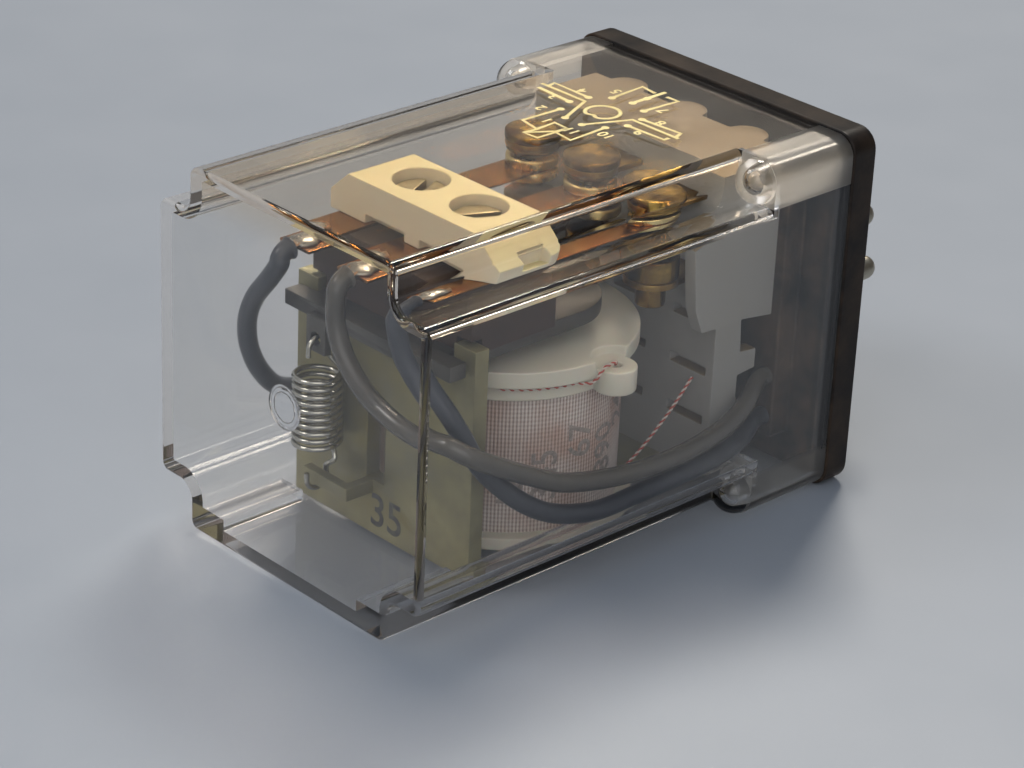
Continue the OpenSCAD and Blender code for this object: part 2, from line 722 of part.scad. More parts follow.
module upper_terminal(y) {
  color("#b98a52") difference() {
    union() {
      box(contact_x, terminal_end, y - terminal_w / 2, y + terminal_w / 2, upper_terminal_z,
        upper_terminal_z + terminal_t);
      translate([contact_x, y, upper_terminal_z]) cylinder(d = contact_d + 0.2, h = terminal_t);
    }
    translate([contact_x, y, upper_terminal_z - 1]) cylinder(d = shank_d + 2 * seat_gap, h = 3);
  }
}

module upper_contact(y) {
  color("#c69b62") translate([contact_x, y, upper_terminal_z]) {
    mirror([0, 0, 1]) button(contact_d, upper_button_h);
    translate([0, 0, -eps]) cylinder(d = shank_d, h = terminal_t + 2 * eps);
    translate([0, 0, terminal_t]) cylinder(d = contact_d + 0.3, h = 0.8);
  }
}

module lower_terminal(y) {
  color("#b98a52") difference() {
    union() {
      box(contact_x, terminal_end, y - terminal_w / 2, y + terminal_w / 2, lower_button_z - terminal_t,
        lower_button_z);
      translate([contact_x, y, lower_button_z - terminal_t]) cylinder(d = contact_d + 0.2, h = terminal_t);
    }
    translate([contact_x, y, lower_button_z - 2]) cylinder(d = shank_d + 2 * seat_gap, h = 3);
  }
}

module lower_contact(y) {
  tail_z = flange_top + rivet_gap;
  color("#c69b62") translate([contact_x, y, 0]) {
    translate([0, 0, lower_button_z]) button(contact_d, lower_button_top - lower_button_z);
    translate([0, 0, tail_z]) cylinder(d = rivet_d, h = lower_button_z - terminal_t - tail_z);
    translate([0, 0, tail_z + eps]) cylinder(d = shank_d, h = lower_button_z - tail_z);
  }
}

// A lead bends down behind the tail of its spring and ends square on the plinth
module lead(start_y, route, end_y, end_z) {
  bend = [
    for (a = [0 : 22.5 : 90])
      [tail_x - lead_gap - lead_bend_r * sin(a), start_y, spring_z - lead_bend_r * (1 - cos(a))]
  ];
  color("#34353a") tube(
    concat(bend, route, [[plinth_x - lead_end_len, end_y, end_z], [plinth_x, end_y, end_z]]), lead_d / 2, 8
  );
}

module armature() {
  main_r = armature_w / 2;
  tip_x = coil_x + armature_reach;
  color("#6e6a66") difference() {
    union() {
      translate([0, 0, armature_z]) linear_extrude(height = armature_t) {
        translate([neck_front, -main_r]) square([tip_x - corner_r - neck_front, armature_w]);
        translate([neck_front, -main_r + corner_r]) square([tip_x - neck_front, armature_w - 2 * corner_r]);
        for (y = [-1, 1]) translate([tip_x - corner_r, y * (main_r - corner_r)]) circle(r = corner_r);
        translate([neck_back - eps, -lug_inner + lug_gap])
          square([neck_front - neck_back + 2 * eps, 2 * (lug_inner - lug_gap)]);
        translate([tail_back, -tail_w / 2]) square([neck_back - tail_back, tail_w]);
      }
      box(spring_x - tab_t / 2, tail_back + eps, spring_y - tab_w / 2, spring_y + tab_w / 2, armature_z,
        armature_z + tab_t);
      box(spring_x - tab_t / 2, spring_x + tab_t / 2, spring_y - tab_w / 2, spring_y + tab_w / 2, tab_low_z,
        armature_z + tab_t);
    }
    translate([spring_x - tab_t, spring_y, tab_hole_z]) rotate([0, 90, 0])
      cylinder(d = tab_hole_d, h = 2 * tab_t);
    for (y = [-1, 1]) translate([screw_x, y * screw_y, 0])
      cylinder(d = screw_d + 2 * seat_gap, h = armature_top + eps);
  }
}

module lower_block() {
  color("#4a372c") difference() {
    box(stack_x, clamp_front, -stack_w / 2, stack_w / 2, armature_top, leaf_z);
    for (y = [0, 1]) mirror([0, y, 0]) box(
      stack_x - eps, neck_front, lug_inner - lug_gap, stack_w, armature_top - eps,
      pivot_z + lug_h + lug_gap
    );
    for (y = [-1, 1]) translate([screw_x, y * screw_y, 0])
      cylinder(d = screw_d + 2 * seat_gap, h = leaf_z + eps);
  }
}

module moving_spring(y) {
  color("#c08a3e") translate([0, y, leaf_z]) difference() {
    linear_extrude(height = leaf_t) {
      translate([tail_x, -leaf_w / 2]) square([contact_x - tail_x, leaf_w]);
      translate([contact_x, 0]) circle(d = leaf_w);
    }
    translate([contact_x, 0, -1]) cylinder(d = shank_d + 2 * seat_gap, h = 3);
  }
}

module moving_contact(y) {
  color("#d3ad6b") translate([contact_x, y, 0]) {
    translate([0, 0, leaf_top]) button(contact_d, contact_h);
    translate([0, 0, leaf_z]) mirror([0, 0, 1]) button(contact_d, contact_h);
    translate([0, 0, leaf_z - eps]) cylinder(d = shank_d, h = leaf_t + 2 * eps);
  }
}

module clamp_block() {
  w = clamp_w / 2;
  top = w - clamp_slope;
  profile = [
    [-w, clamp_z], [-w, end_chamfer_z], [-top, clamp_top], [top, clamp_top], [w, end_chamfer_z], [w, clamp_z]
  ];
  color("#d8ccae") difference() {
    intersection() {
      prism_x(clamp_x, clamp_front) polygon(profile);
      translate([0, 0, clamp_z - 1]) linear_extrude(height = clamp_h + 2) {
        translate([clamp_x, -w]) square([clamp_depth - clamp_corner_r, clamp_w]);
        translate([clamp_x, -w + clamp_corner_r]) square([clamp_depth, clamp_w - 2 * clamp_corner_r]);
        for (y = [-1, 1]) translate([clamp_front - clamp_corner_r, y * (w - clamp_corner_r)])
          circle(r = clamp_corner_r);
      }
    }
    for (y = [0, 1]) mirror([0, y, 0]) {
      box(clamp_x + pocket_back, clamp_x + pocket_back + pocket_x, w - pocket_depth, w + 1,
        end_chamfer_z - pocket_h / 2, end_chamfer_z + pocket_h / 2);
      box(clamp_x - 1, clamp_x + 1, tail_recess[0], tail_recess[1], clamp_z - 1, clamp_z + tail_recess_h);
    }
    for (y = [-1, 1]) translate([screw_x, y * screw_y, 0]) {
      cylinder(d = screw_d + 2 * seat_gap, h = clamp_top);
      translate([0, 0, clamp_top - screw_recess - screw_head_h])
        cylinder(d = screw_head_d + 2 * bore_wall, h = clamp_h);
    }
  }
}

module clamp_screws() {
  head_z = clamp_top - screw_recess - screw_head_h;
  color("#a9a08a") for (y = [-1, 1]) translate([screw_x, y * screw_y, 0]) difference() {
    union() {
      translate([0, 0, armature_z + 0.2]) cylinder(d = screw_d, h = head_z - armature_z);
      translate([0, 0, head_z]) cylinder(d = screw_head_d, h = screw_head_h);
    }
    translate([0, 0, head_z + screw_head_h - screw_slot]) rotate([0, 0, y * screw_turn])
      box(-3, 3, -screw_slot / 2, screw_slot / 2, 0, 2);
  }
}

module return_spring() {
  color("#8f8b83") tube(spring_path, spring_wire / 2, 6);
}

base();
key_spigot();
contact_pins();
cover();
contact_carrier();
yoke();
yoke_screws();
core();
bobbin();
winding();
coil_tape();
coil_lead_wires();
upper_terminal(pole_pitch);  // upper_terminal_1
upper_terminal(0);  // upper_terminal_2
upper_terminal(-pole_pitch);  // upper_terminal_3
upper_contact(pole_pitch);  // upper_contact_1
upper_contact(0);  // upper_contact_2
upper_contact(-pole_pitch);  // upper_contact_3
lower_terminal(pole_pitch);  // lower_terminal_1
lower_terminal(0);  // lower_terminal_2
lower_terminal(-pole_pitch);  // lower_terminal_3
lower_contact(pole_pitch);  // lower_contact_1
lower_contact(0);  // lower_contact_2
lower_contact(-pole_pitch);  // lower_contact_3
lead(pole_pitch, route_1, lead_in_y, lead_in_z);  // lead_1
lead(0, route_2, -lead_in_y, lead_in_z);  // lead_2
lead(-pole_pitch, route_3, -lead_in_y, low_lead_in_z);  // lead_3
armature();
lower_block();
moving_spring(pole_pitch);  // moving_spring_1
moving_spring(0);  // moving_spring_2
moving_spring(-pole_pitch);  // moving_spring_3
moving_contact(pole_pitch);  // moving_contact_1
moving_contact(0);  // moving_contact_2
moving_contact(-pole_pitch);  // moving_contact_3
clamp_block();
clamp_screws();
return_spring();
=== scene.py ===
import json
import math

import bmesh
import bpy
from mathutils import Matrix, Vector

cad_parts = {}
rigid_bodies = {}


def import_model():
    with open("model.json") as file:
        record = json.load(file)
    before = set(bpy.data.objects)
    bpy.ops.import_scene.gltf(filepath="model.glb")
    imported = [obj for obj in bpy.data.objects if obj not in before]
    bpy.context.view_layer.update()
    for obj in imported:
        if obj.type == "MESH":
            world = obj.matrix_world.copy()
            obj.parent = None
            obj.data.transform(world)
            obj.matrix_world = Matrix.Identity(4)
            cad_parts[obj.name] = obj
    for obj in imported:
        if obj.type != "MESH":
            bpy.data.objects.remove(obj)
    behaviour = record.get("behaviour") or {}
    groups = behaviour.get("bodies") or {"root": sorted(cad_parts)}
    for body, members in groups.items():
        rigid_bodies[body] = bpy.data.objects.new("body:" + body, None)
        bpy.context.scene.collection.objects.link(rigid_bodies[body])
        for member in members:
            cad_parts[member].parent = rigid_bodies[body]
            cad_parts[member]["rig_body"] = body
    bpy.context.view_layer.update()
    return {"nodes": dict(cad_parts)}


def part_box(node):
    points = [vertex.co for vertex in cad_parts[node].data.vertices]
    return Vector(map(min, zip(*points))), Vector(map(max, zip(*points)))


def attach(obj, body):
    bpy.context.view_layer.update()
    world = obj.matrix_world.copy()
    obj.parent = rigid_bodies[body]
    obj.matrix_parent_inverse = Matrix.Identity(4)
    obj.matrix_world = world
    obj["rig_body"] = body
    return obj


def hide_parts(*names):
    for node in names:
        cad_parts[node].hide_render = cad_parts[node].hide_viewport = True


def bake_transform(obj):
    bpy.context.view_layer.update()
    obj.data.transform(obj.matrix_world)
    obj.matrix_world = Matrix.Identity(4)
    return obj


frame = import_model()
MM = 0.001


# Camera
# It stands where the photograph was taken from, a little above the near side of the cover with the
# free end to the left. The lens is long, so the long edges of the cover stay almost parallel.
camera_turn = math.radians(-44.0)
camera_rise = math.radians(26.04)
camera_roll = math.radians(2.55)
camera_place = Vector((-0.20911, -0.18815, 0.12156))
film_width = 36
lens_length = 110.99
towards_camera = Vector((
    math.sin(camera_turn) * math.cos(camera_rise),
    -math.cos(camera_turn) * math.cos(camera_rise),
    math.sin(camera_rise),
))
level = (-towards_camera).cross(Vector((0, 0, 1))).normalized()
upright = level.cross(-towards_camera)
camera_right = math.cos(camera_roll) * level + math.sin(camera_roll) * upright
camera_up = math.cos(camera_roll) * upright - math.sin(camera_roll) * level
camera_axes = Matrix((camera_right, camera_up, towards_camera)).transposed().to_4x4()
bpy.ops.object.camera_add(location=camera_place)
camera = bpy.context.object
camera.matrix_world = Matrix.Translation(camera_place) @ camera_axes
camera.data.sensor_width = film_width
camera.data.lens = lens_length
camera.data.clip_start = 0.01
camera.data.clip_end = 50
bpy.context.scene.camera = camera
bpy.context.scene.view_settings.view_transform = "Standard"


# Table top and light
# The relay lies on a plain pale grey table under soft daylight. The brightest light comes from behind
# the plug and from above, and two weaker lights fill the near side and the free end. The room shows
# pale behind the table, while the cover reflects a dim one.
def paint(code):
    """The linear colour of a screen colour such as 9a958b."""
    values = [int(code[i:i + 2], 16) / 255 for i in (0, 2, 4)]
    return tuple(v / 12.92 if v <= 0.04045 else ((v + 0.055) / 1.055) ** 2.4 for v in values) + (1,)


def blank_material(name):
    """A new material with only its output, the material's nodes and its links."""
    material = bpy.data.materials.new(name)
    material.use_nodes = True
    tree = material.node_tree
    tree.nodes.clear()
    output = tree.nodes.new("ShaderNodeOutputMaterial")
    return material, tree.nodes, tree.links, output


def mixed(nodes, first=None, second=None, way="MIX"):
    """A node that mixes two colours, each of them given here or linked later."""
    node = nodes.new("ShaderNodeMix")
    node.data_type = "RGBA"
    node.blend_type = way
    for socket, colour in (("A", first), ("B", second)):
        if colour:
            node.inputs[socket].default_value = colour
    return node


def figured(nodes, operation, second=None):
    """A Math node, with its second number where that is fixed."""
    node = nodes.new("ShaderNodeMath")
    node.operation = operation
    if second is not None:
        node.inputs[1].default_value = second
    return node


def ranged(nodes, from_min=0, from_max=1, to_min=0, to_max=1):
    """A node that stretches one range of values over another."""
    node = nodes.new("ShaderNodeMapRange")
    for label, value in (
        ("From Min", from_min), ("From Max", from_max), ("To Min", to_min), ("To Max", to_max),
    ):
        node.inputs[label].default_value = value
    return node


table_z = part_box("base")[0].z
table_side = 1.8
bpy.ops.mesh.primitive_plane_add(size=table_side, location=(0, 0, table_z))
table = bpy.context.object
table.name = "table_top"
table_paint, nodes, links, output = blank_material("table_paint")
table_shader = nodes.new("ShaderNodeBsdfPrincipled")
table_shader.inputs["Roughness"].default_value = 0.42
place_on_table = nodes.new("ShaderNodeTexCoord")
speckle = nodes.new("ShaderNodeTexNoise")
speckle.inputs["Scale"].default_value = 60
speckle_colour = mixed(nodes, paint("aab0b9"), paint("a0a7b1"))
links.new(place_on_table.outputs["Object"], speckle.inputs["Vector"])
links.new(speckle.outputs["Fac"], speckle_colour.inputs["Factor"])
links.new(speckle_colour.outputs["Result"], table_shader.inputs["Base Color"])
links.new(table_shader.outputs["BSDF"], output.inputs["Surface"])
table.data.materials.append(table_paint)

dim_room = (0.09, 0.082, 0.075, 1)
sky_light = (0.22, 0.265, 0.33, 1)
pale_backdrop = (0.38, 0.40, 0.43, 1)
world = bpy.data.worlds.new("studio")
bpy.context.scene.world = world
world.use_nodes = True
nodes, links = world.node_tree.nodes, world.node_tree.links
nodes.clear()
direction = nodes.new("ShaderNodeTexCoord")
heading = nodes.new("ShaderNodeSeparateXYZ")
rise = ranged(nodes, 0.5, 0.8)
sky = mixed(nodes, dim_room, sky_light)
ray = nodes.new("ShaderNodeLightPath")
looked_at = figured(nodes, "MAXIMUM")
backdrop = mixed(nodes, second=pale_backdrop)
surround = nodes.new("ShaderNodeBackground")
world_output = nodes.new("ShaderNodeOutputWorld")
links.new(direction.outputs["Generated"], heading.inputs["Vector"])
links.new(heading.outputs["Z"], rise.inputs["Value"])
links.new(rise.outputs["Result"], sky.inputs["Factor"])
links.new(ray.outputs["Is Camera Ray"], looked_at.inputs[0])
links.new(ray.outputs["Is Transmission Ray"], looked_at.inputs[1])
links.new(looked_at.outputs["Value"], backdrop.inputs["Factor"])
links.new(sky.outputs["Result"], backdrop.inputs["A"])
links.new(backdrop.outputs["Result"], surround.inputs["Color"])
links.new(surround.outputs["Background"], world_output.inputs["Surface"])

relay_middle = Vector((-0.025, 0, 0))
for name, where, size, watts, tint in (
    ("window_light", (0.36, 0.26, 0.62), 0.20, 4.0, (1, 0.93, 0.82)),
    ("near_fill", (-0.46, -0.50, 0.42), 0.80, 2.0, (0.95, 0.97, 1)),
    ("left_fill", (-0.46, 0.27, 0.50), 0.20, 0.95, (0.95, 0.97, 1)),
):
    bpy.ops.object.light_add(type="AREA", location=where)
    lamp = bpy.context.object
    lamp.name = name
    lamp.data.shape = "SQUARE"
    lamp.data.size = size
    lamp.data.energy = watts
    lamp.data.color = tint
    lamp.rotation_euler = (relay_middle - Vector(where)).to_track_quat("-Z", "Y").to_euler()

# A ray may turn many times inside the walls of the clear cover
ray_turns = 24
cycles = bpy.context.scene.cycles
cycles.max_bounces = ray_turns
cycles.transmission_bounces = ray_turns
cycles.glossy_bounces = ray_turns
cycles.transparent_max_bounces = ray_turns


# Base
# A black phenolic moulding closes the open end of the cover. Its plate shows as a dark band behind the
# cover, and a plinth inside holds the mechanism. The moulded edges are slightly eased and worn brown.
def select_only(piece):
    """Deselects everything and leaves one object selected and active."""
    if bpy.context.object and bpy.context.object.mode != "OBJECT":
        bpy.ops.object.mode_set(mode="OBJECT")
    bpy.ops.object.select_all(action="DESELECT")
    piece.select_set(True)
    bpy.context.view_layer.objects.active = piece


def smooth(piece, angle=32):
    """Shades a piece smooth, with a crease where its faces meet at more than the angle in degrees."""
    select_only(piece)
    bpy.ops.object.shade_smooth_by_angle(angle=math.radians(angle))


def apply_place():
    """Puts the place, turn and size of the selected object into its mesh."""
    bpy.ops.object.transform_apply(location=True, rotation=True, scale=True)


def edit_all():
    """Opens the active object's mesh for editing, with all of it selected."""
    bpy.ops.object.mode_set(mode="EDIT")
    bpy.ops.mesh.select_all(action="SELECT")


def apply_modifier(piece, kind, **settings):
    """Adds a modifier with the settings given and makes its result the piece's mesh."""
    modifier = piece.modifiers.new(kind.lower(), kind)
    for key, value in settings.items():
        setattr(modifier, key, value)
    select_only(piece)
    bpy.ops.object.modifier_apply(modifier=modifier.name)


def merged_copy(node):
    """A copy of a CAD node with its triangles joined into faces."""
    piece = bpy.data.objects.new(node + "_finished", frame["nodes"][node].data.copy())
    bpy.context.scene.collection.objects.link(piece)
    piece.data.materials.clear()
    select_only(piece)
    bpy.ops.mesh.customdata_custom_splitnormals_clear()
    edit_all()
    bpy.ops.mesh.remove_doubles(threshold=0.000002)
    bpy.ops.mesh.dissolve_limited(angle_limit=math.radians(0.6))
    bpy.ops.object.mode_set(mode="OBJECT")
    return piece


def seat(piece, node):
    """Shades a finished copy, fixes it to its node's body and lets it stand for the node."""
    smooth(piece)
    apply_modifier(piece, "WEIGHTED_NORMAL", keep_sharp=True)
    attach(piece, frame["nodes"][node]["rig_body"])
    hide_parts(node)
    return piece


def eased(node, edge, segments=2, angle=35):
    """A copy of a CAD node with its sharp edges rounded, in the node's place."""
    piece = merged_copy(node)
    apply_modifier(
        piece, "BEVEL", width=edge, segments=segments, limit_method="ANGLE",
        angle_limit=math.radians(angle), use_clamp_overlap=False, miter_outer="MITER_ARC",
    )
    return seat(piece, node)


def handled_surface_group():
    """Patches, worn edges, painted warm light on faces that look up, uneven gloss and a fine grain, for
    hard pieces.
    """
    group = bpy.data.node_groups.new("handled_surface", "ShaderNodeTree")
    for label, kind, value in (
        ("Colour", "NodeSocketColor", (0.5, 0.5, 0.5, 1)),
        ("Patch Colour", "NodeSocketColor", (0.4, 0.4, 0.4, 1)),
        ("Worn Colour", "NodeSocketColor", (0.6, 0.6, 0.6, 1)), ("Patch Scale", "NodeSocketFloat", 300.0),
        ("Patch Share", "NodeSocketFloat", 0.5), ("Wear", "NodeSocketFloat", 0.3),
        ("Roughness Low", "NodeSocketFloat", 0.3), ("Roughness High", "NodeSocketFloat", 0.5),
        ("Grain Scale", "NodeSocketFloat", 4000.0), ("Grain Depth", "NodeSocketFloat", 0.00001),
        ("Upper Tint", "NodeSocketColor", (1, 1, 1, 1)),
    ):
        socket = group.interface.new_socket(label, in_out="INPUT", socket_type=kind)
        socket.default_value = value
    for label, kind in (
        ("Colour", "NodeSocketColor"), ("Roughness", "NodeSocketFloat"), ("Normal", "NodeSocketVector"),
    ):
        group.interface.new_socket(label, in_out="OUTPUT", socket_type=kind)
    nodes, links = group.nodes, group.links
    given = nodes.new("NodeGroupInput")
    result = nodes.new("NodeGroupOutput")
    place = nodes.new("ShaderNodeTexCoord")
    patches = nodes.new("ShaderNodeTexNoise")
    patches.inputs["Detail"].default_value = 5
    patches.inputs["Roughness"].default_value = 0.6
    contrast = ranged(nodes, 0.36, 0.66)
    share = figured(nodes, "MULTIPLY")
    patched = mixed(nodes)
    edges = nodes.new("ShaderNodeNewGeometry")
    edge_mask = ranged(nodes, 0.505, 0.57)
    broken = figured(nodes, "MULTIPLY")
    wear = figured(nodes, "MULTIPLY")
    worn = mixed(nodes)
    facing = nodes.new("ShaderNodeSeparateXYZ")
    painted_top_light = mixed(nodes, way="MULTIPLY")
    gloss = ranged(nodes)
    grain = nodes.new("ShaderNodeTexNoise")
    grain.inputs["Detail"].default_value = 3
    bump = nodes.new("ShaderNodeBump")
    links.new(place.outputs["Object"], patches.inputs["Vector"])
    links.new(given.outputs["Patch Scale"], patches.inputs["Scale"])
    links.new(patches.outputs["Fac"], contrast.inputs["Value"])
    links.new(contrast.outputs["Result"], share.inputs[0])
    links.new(given.outputs["Patch Share"], share.inputs[1])
    links.new(share.outputs["Value"], patched.inputs["Factor"])
    links.new(given.outputs["Colour"], patched.inputs["A"])
    links.new(given.outputs["Patch Colour"], patched.inputs["B"])
    links.new(edges.outputs["Pointiness"], edge_mask.inputs["Value"])
    links.new(edge_mask.outputs["Result"], broken.inputs[0])
    links.new(contrast.outputs["Result"], broken.inputs[1])
    links.new(broken.outputs["Value"], wear.inputs[0])
    links.new(given.outputs["Wear"], wear.inputs[1])
    links.new(wear.outputs["Value"], worn.inputs["Factor"])
    links.new(patched.outputs["Result"], worn.inputs["A"])
    links.new(given.outputs["Worn Colour"], worn.inputs["B"])
    # Faces that look up are multiplied by the upper tint, a painted warm light on their tops
    links.new(edges.outputs["Normal"], facing.inputs["Vector"])
    links.new(facing.outputs["Z"], painted_top_light.inputs["Factor"])
    links.new(worn.outputs["Result"], painted_top_light.inputs["A"])
    links.new(given.outputs["Upper Tint"], painted_top_light.inputs["B"])
    links.new(painted_top_light.outputs["Result"], result.inputs["Colour"])
    links.new(patches.outputs["Fac"], gloss.inputs["Value"])
    links.new(given.outputs["Roughness Low"], gloss.inputs["To Min"])
    links.new(given.outputs["Roughness High"], gloss.inputs["To Max"])
    links.new(gloss.outputs["Result"], result.inputs["Roughness"])
    links.new(place.outputs["Object"], grain.inputs["Vector"])
    links.new(given.outputs["Grain Scale"], grain.inputs["Scale"])
    links.new(grain.outputs["Fac"], bump.inputs["Height"])
    links.new(given.outputs["Grain Depth"], bump.inputs["Distance"])
    links.new(bump.outputs["Normal"], result.inputs["Normal"])
    return group


handled_surface = handled_surface_group()


def finish(name, colour, patch, worn, patch_scale=300, share=0.5, wear=0.4, gloss=(0.3, 0.5),
           grain=(4000, 0.00001), upper="ffffff", **uniform):
    """A hard finish: the shared surface effect, and a shader with the values that are the same all over.
    upper is a painted warm light on the faces that look up.
    """
    material, nodes, links, output = blank_material(name)
    shader = nodes.new("ShaderNodeBsdfPrincipled")
    surface = nodes.new("ShaderNodeGroup")
    surface.node_tree = handled_surface
    for label, value in (
        ("Colour", paint(colour)), ("Patch Colour", paint(patch)), ("Worn Colour", paint(worn)),
        ("Patch Scale", patch_scale), ("Patch Share", share), ("Wear", wear),
        ("Roughness Low", gloss[0]), ("Roughness High", gloss[1]),
        ("Grain Scale", grain[0]), ("Grain Depth", grain[1]), ("Upper Tint", paint(upper)),
    ):
        surface.inputs[label].default_value = value
    for label, value in uniform.items():
        shader.inputs[label.replace("_", " ")].default_value = value
    links.new(surface.outputs["Colour"], shader.inputs["Base Color"])
    links.new(surface.outputs["Roughness"], shader.inputs["Roughness"])
    links.new(surface.outputs["Normal"], shader.inputs["Normal"])
    links.new(shader.outputs["BSDF"], output.inputs["Surface"])
    return material


base = eased("base", 0.25 * MM, segments=3)
phenolic = finish(
    "black_phenolic", "100f11", "1a1716", "5c4a3a", patch_scale=180, share=0.6, wear=0.8,
    gloss=(0.32, 0.5), grain=(2600, 0.00001), Specular_IOR_Level=0.18,
)
base.data.materials.append(phenolic)


# Keyed spigot
# The post in the middle of the plug is a moulding of the same material, pressed into the base. Its key
# lets the plug into the socket in one position only.
key_spigot = eased("key_spigot", 0.25 * MM, segments=3)
key_spigot.data.materials.append(phenolic)


# Plug pins
# Eleven brass pins with a dull tin coat pass through the base. Each is closed at its tip by a small
# blob of solder, which is a little wider than the pin.
pins = eased("contact_pins", 0.08 * MM)
tinned = finish(
    "tinned_brass", "b9b3a4", "8d8474", "cfc9bb", patch_scale=700, share=0.8, wear=0.5,
    gloss=(0.28, 0.55), grain=(5000, 0.00001), Metallic=1.0,
)
pins.data.materials.append(tinned)


# Contact carrier
# A grey moulding stands on the plinth and holds the fixed contacts of all three poles. It has a broad
# bar on top with three round lobes, two side cheeks, and narrow slots in its face.
carrier = eased("contact_carrier", 0.12 * MM)
# The faces of the carrier that look up get a painted warm light.
carrier.data.materials.append(finish(
    "grey_moulding", "94928d", "85827b", "aaa79e", patch_scale=220, share=0.5, wear=0.4,
    gloss=(0.42, 0.6), grain=(3000, 0.000015), upper="bea270",
))


# Fixed contacts
# Each pole has an upper and a lower brass blade, pushed into the carrier, with a riveted contact. The
# rivet heads are copper coloured and stained by heat.
blade_brass = finish(
    "blade_brass", "8e6a30", "5c3e1c", "dcb96c", patch_scale=500, share=0.8, wear=0.6,
    gloss=(0.22, 0.45), grain=(6000, 0.000008), Metallic=1.0,
)
rivet_copper = finish(
    "rivet_copper", "5a3412", "2c1a0a", "f4cc70", patch_scale=420, share=0.9, wear=1.0,
    gloss=(0.12, 0.3), grain=(5000, 0.00001), Metallic=1.0,
)
for pole in (1, 2, 3):
    for level_name in ("upper", "lower"):
        blade = eased(f"{level_name}_terminal_{pole}", 0.06 * MM)
        blade.data.materials.append(blade_brass)
        rivet = eased(f"{level_name}_contact_{pole}", 0.12 * MM, segments=3)
        rivet.data.materials.append(rivet_copper)


# Yoke, its screws and the core
# The yoke is a bent steel angle with a yellow passivated zinc coat, which is uneven and greenish. Two
# countersunk screws hold its leg to the carrier, and the iron core is riveted into it.
yoke = eased("yoke", 0.12 * MM)
yoke.data.materials.append(finish(
    "yellow_zinc", "918b6f", "938436", "c6c1a4", patch_scale=160, share=0.75, wear=0.5,
    gloss=(0.34, 0.55), grain=(2200, 0.00001), Metallic=0.75,
))
yoke_screws = eased("yoke_screws", 0.05 * MM)
yoke_screws.data.materials.append(finish(
    "zinc_screw", "a9a9a4", "8a8a84", "cfcfca", patch_scale=600, gloss=(0.25, 0.45), Metallic=1.0,
))
core = eased("core", 0.15 * MM)
core.data.materials.append(finish(
    "core_iron", "8d8a82", "6f6a60", "b5b2aa", patch_scale=500, gloss=(0.3, 0.5), Metallic=1.0,
))


# Bobbin
# A cream white moulding carries the winding. It has a broad top flange, a ledge where the wire starts
# and a small round boss on the near side.
bobbin = eased("bobbin", 0.15 * MM, segments=3)
bobbin.data.materials.append(finish(
    "cream_moulding", "d6d1c0", "c8c1ac", "efebde", patch_scale=120, share=0.5, wear=0.3,
    gloss=(0.38, 0.5), grain=(2500, 0.00001), Subsurface_Weight=0.15, Subsurface_Scale=0.001,
))


# Winding
# Many turns of fine enamelled copper wire lie between the flanges, under the tape. Only a line of it
# can be seen at the edges of the tape.
coil_low, coil_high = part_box("coil_tape")
coil_middle = (coil_low + coil_high) / 2
wind_low, wind_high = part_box("winding")
wind_radius = (wind_high.x - wind_low.x) / 2
wind_rows = 40
row_height = (wind_high.z - wind_low.z) / (2 * wind_rows)
groove_depth = 0.09 * MM
groove = 1 - groove_depth / wind_radius
bpy.ops.mesh.primitive_circle_add(
    vertices=72, radius=wind_radius * groove, location=(coil_middle.x, 0, wind_low.z),
)
winding = bpy.context.object
winding.name = "winding_turns"
apply_place()
edit_all()
for row in range(2 * wind_rows):
    step = 1 / groove if row % 2 == 0 else groove
    bpy.ops.mesh.extrude_region_move(TRANSFORM_OT_translate={"value": (0, 0, row_height)})
    bpy.ops.transform.resize(value=(step, step, 1), center_override=(coil_middle.x, 0, 0))
bpy.ops.object.mode_set(mode="OBJECT")
smooth(winding, 60)
winding.data.materials.append(finish(
    "enamelled_copper", "9c4a2c", "7b3320", "c07048", patch_scale=900, gloss=(0.2, 0.35), Metallic=0.9,
))
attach(winding, "frame")
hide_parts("winding")


# Tape round the coil
# A woven tape with upright ribs is wound once round the winding, and its end laps over its start on
# the near side. It has gone pinkish over the years.
tape_seam = math.radians(-72)
tape_sides = 288
lap = 0.14 * MM
tape_radius = (coil_high.x - coil_low.x) / 2
tape_thickness = 0.12 * MM
bpy.ops.mesh.primitive_cylinder_add(
    vertices=tape_sides, radius=tape_radius, depth=coil_high.z - coil_low.z, end_fill_type="NOTHING",
    location=(coil_middle.x, 0, coil_middle.z),
)
tape = bpy.context.object
tape.name = "coil_tape_woven"
apply_place()
for v in tape.data.vertices:
    arm = Vector((v.co.x - coil_middle.x, v.co.y, 0))
    turn = (math.atan2(arm.y, arm.x) - tape_seam) % (2 * math.pi)
    reach = tape_radius - lap + lap * turn / (2 * math.pi)
    v.co.x = coil_middle.x + arm.x * reach / arm.length
    v.co.y = arm.y * reach / arm.length
apply_modifier(tape, "SOLIDIFY", thickness=tape_thickness, offset=-1)
smooth(tape, 30)

tape_material, nodes, links, output = blank_material("woven_tape")
rib_count = 208
cross_thread = 0.42 * MM
cross_share = 0.35
shader = nodes.new("ShaderNodeBsdfPrincipled")
shader.inputs["Roughness"].default_value = 0.8
shader.inputs["Sheen Weight"].default_value = 0.2
place_on_tape = nodes.new("ShaderNodeTexCoord")
centred = nodes.new("ShaderNodeMapping")
centred.inputs["Location"].default_value = (-coil_middle.x, 0, 0)
parts = nodes.new("ShaderNodeSeparateXYZ")
around = figured(nodes, "ARCTAN2")
ribs = figured(nodes, "MULTIPLY", rib_count)
rib_wave = figured(nodes, "SINE")
picks = figured(nodes, "MULTIPLY", 2 * math.pi / cross_thread)
pick_wave = figured(nodes, "SINE")
weave = figured(nodes, "MULTIPLY_ADD", cross_share)
thread = ranged(nodes, -1.2, 1.2)
stain = nodes.new("ShaderNodeTexNoise")
stain.inputs["Scale"].default_value = 180
stain.inputs["Detail"].default_value = 6
stain_range = ranged(nodes, 0.4, 0.7)
thread_colour = mixed(nodes, paint("9c877c"), paint("ece0d8"))
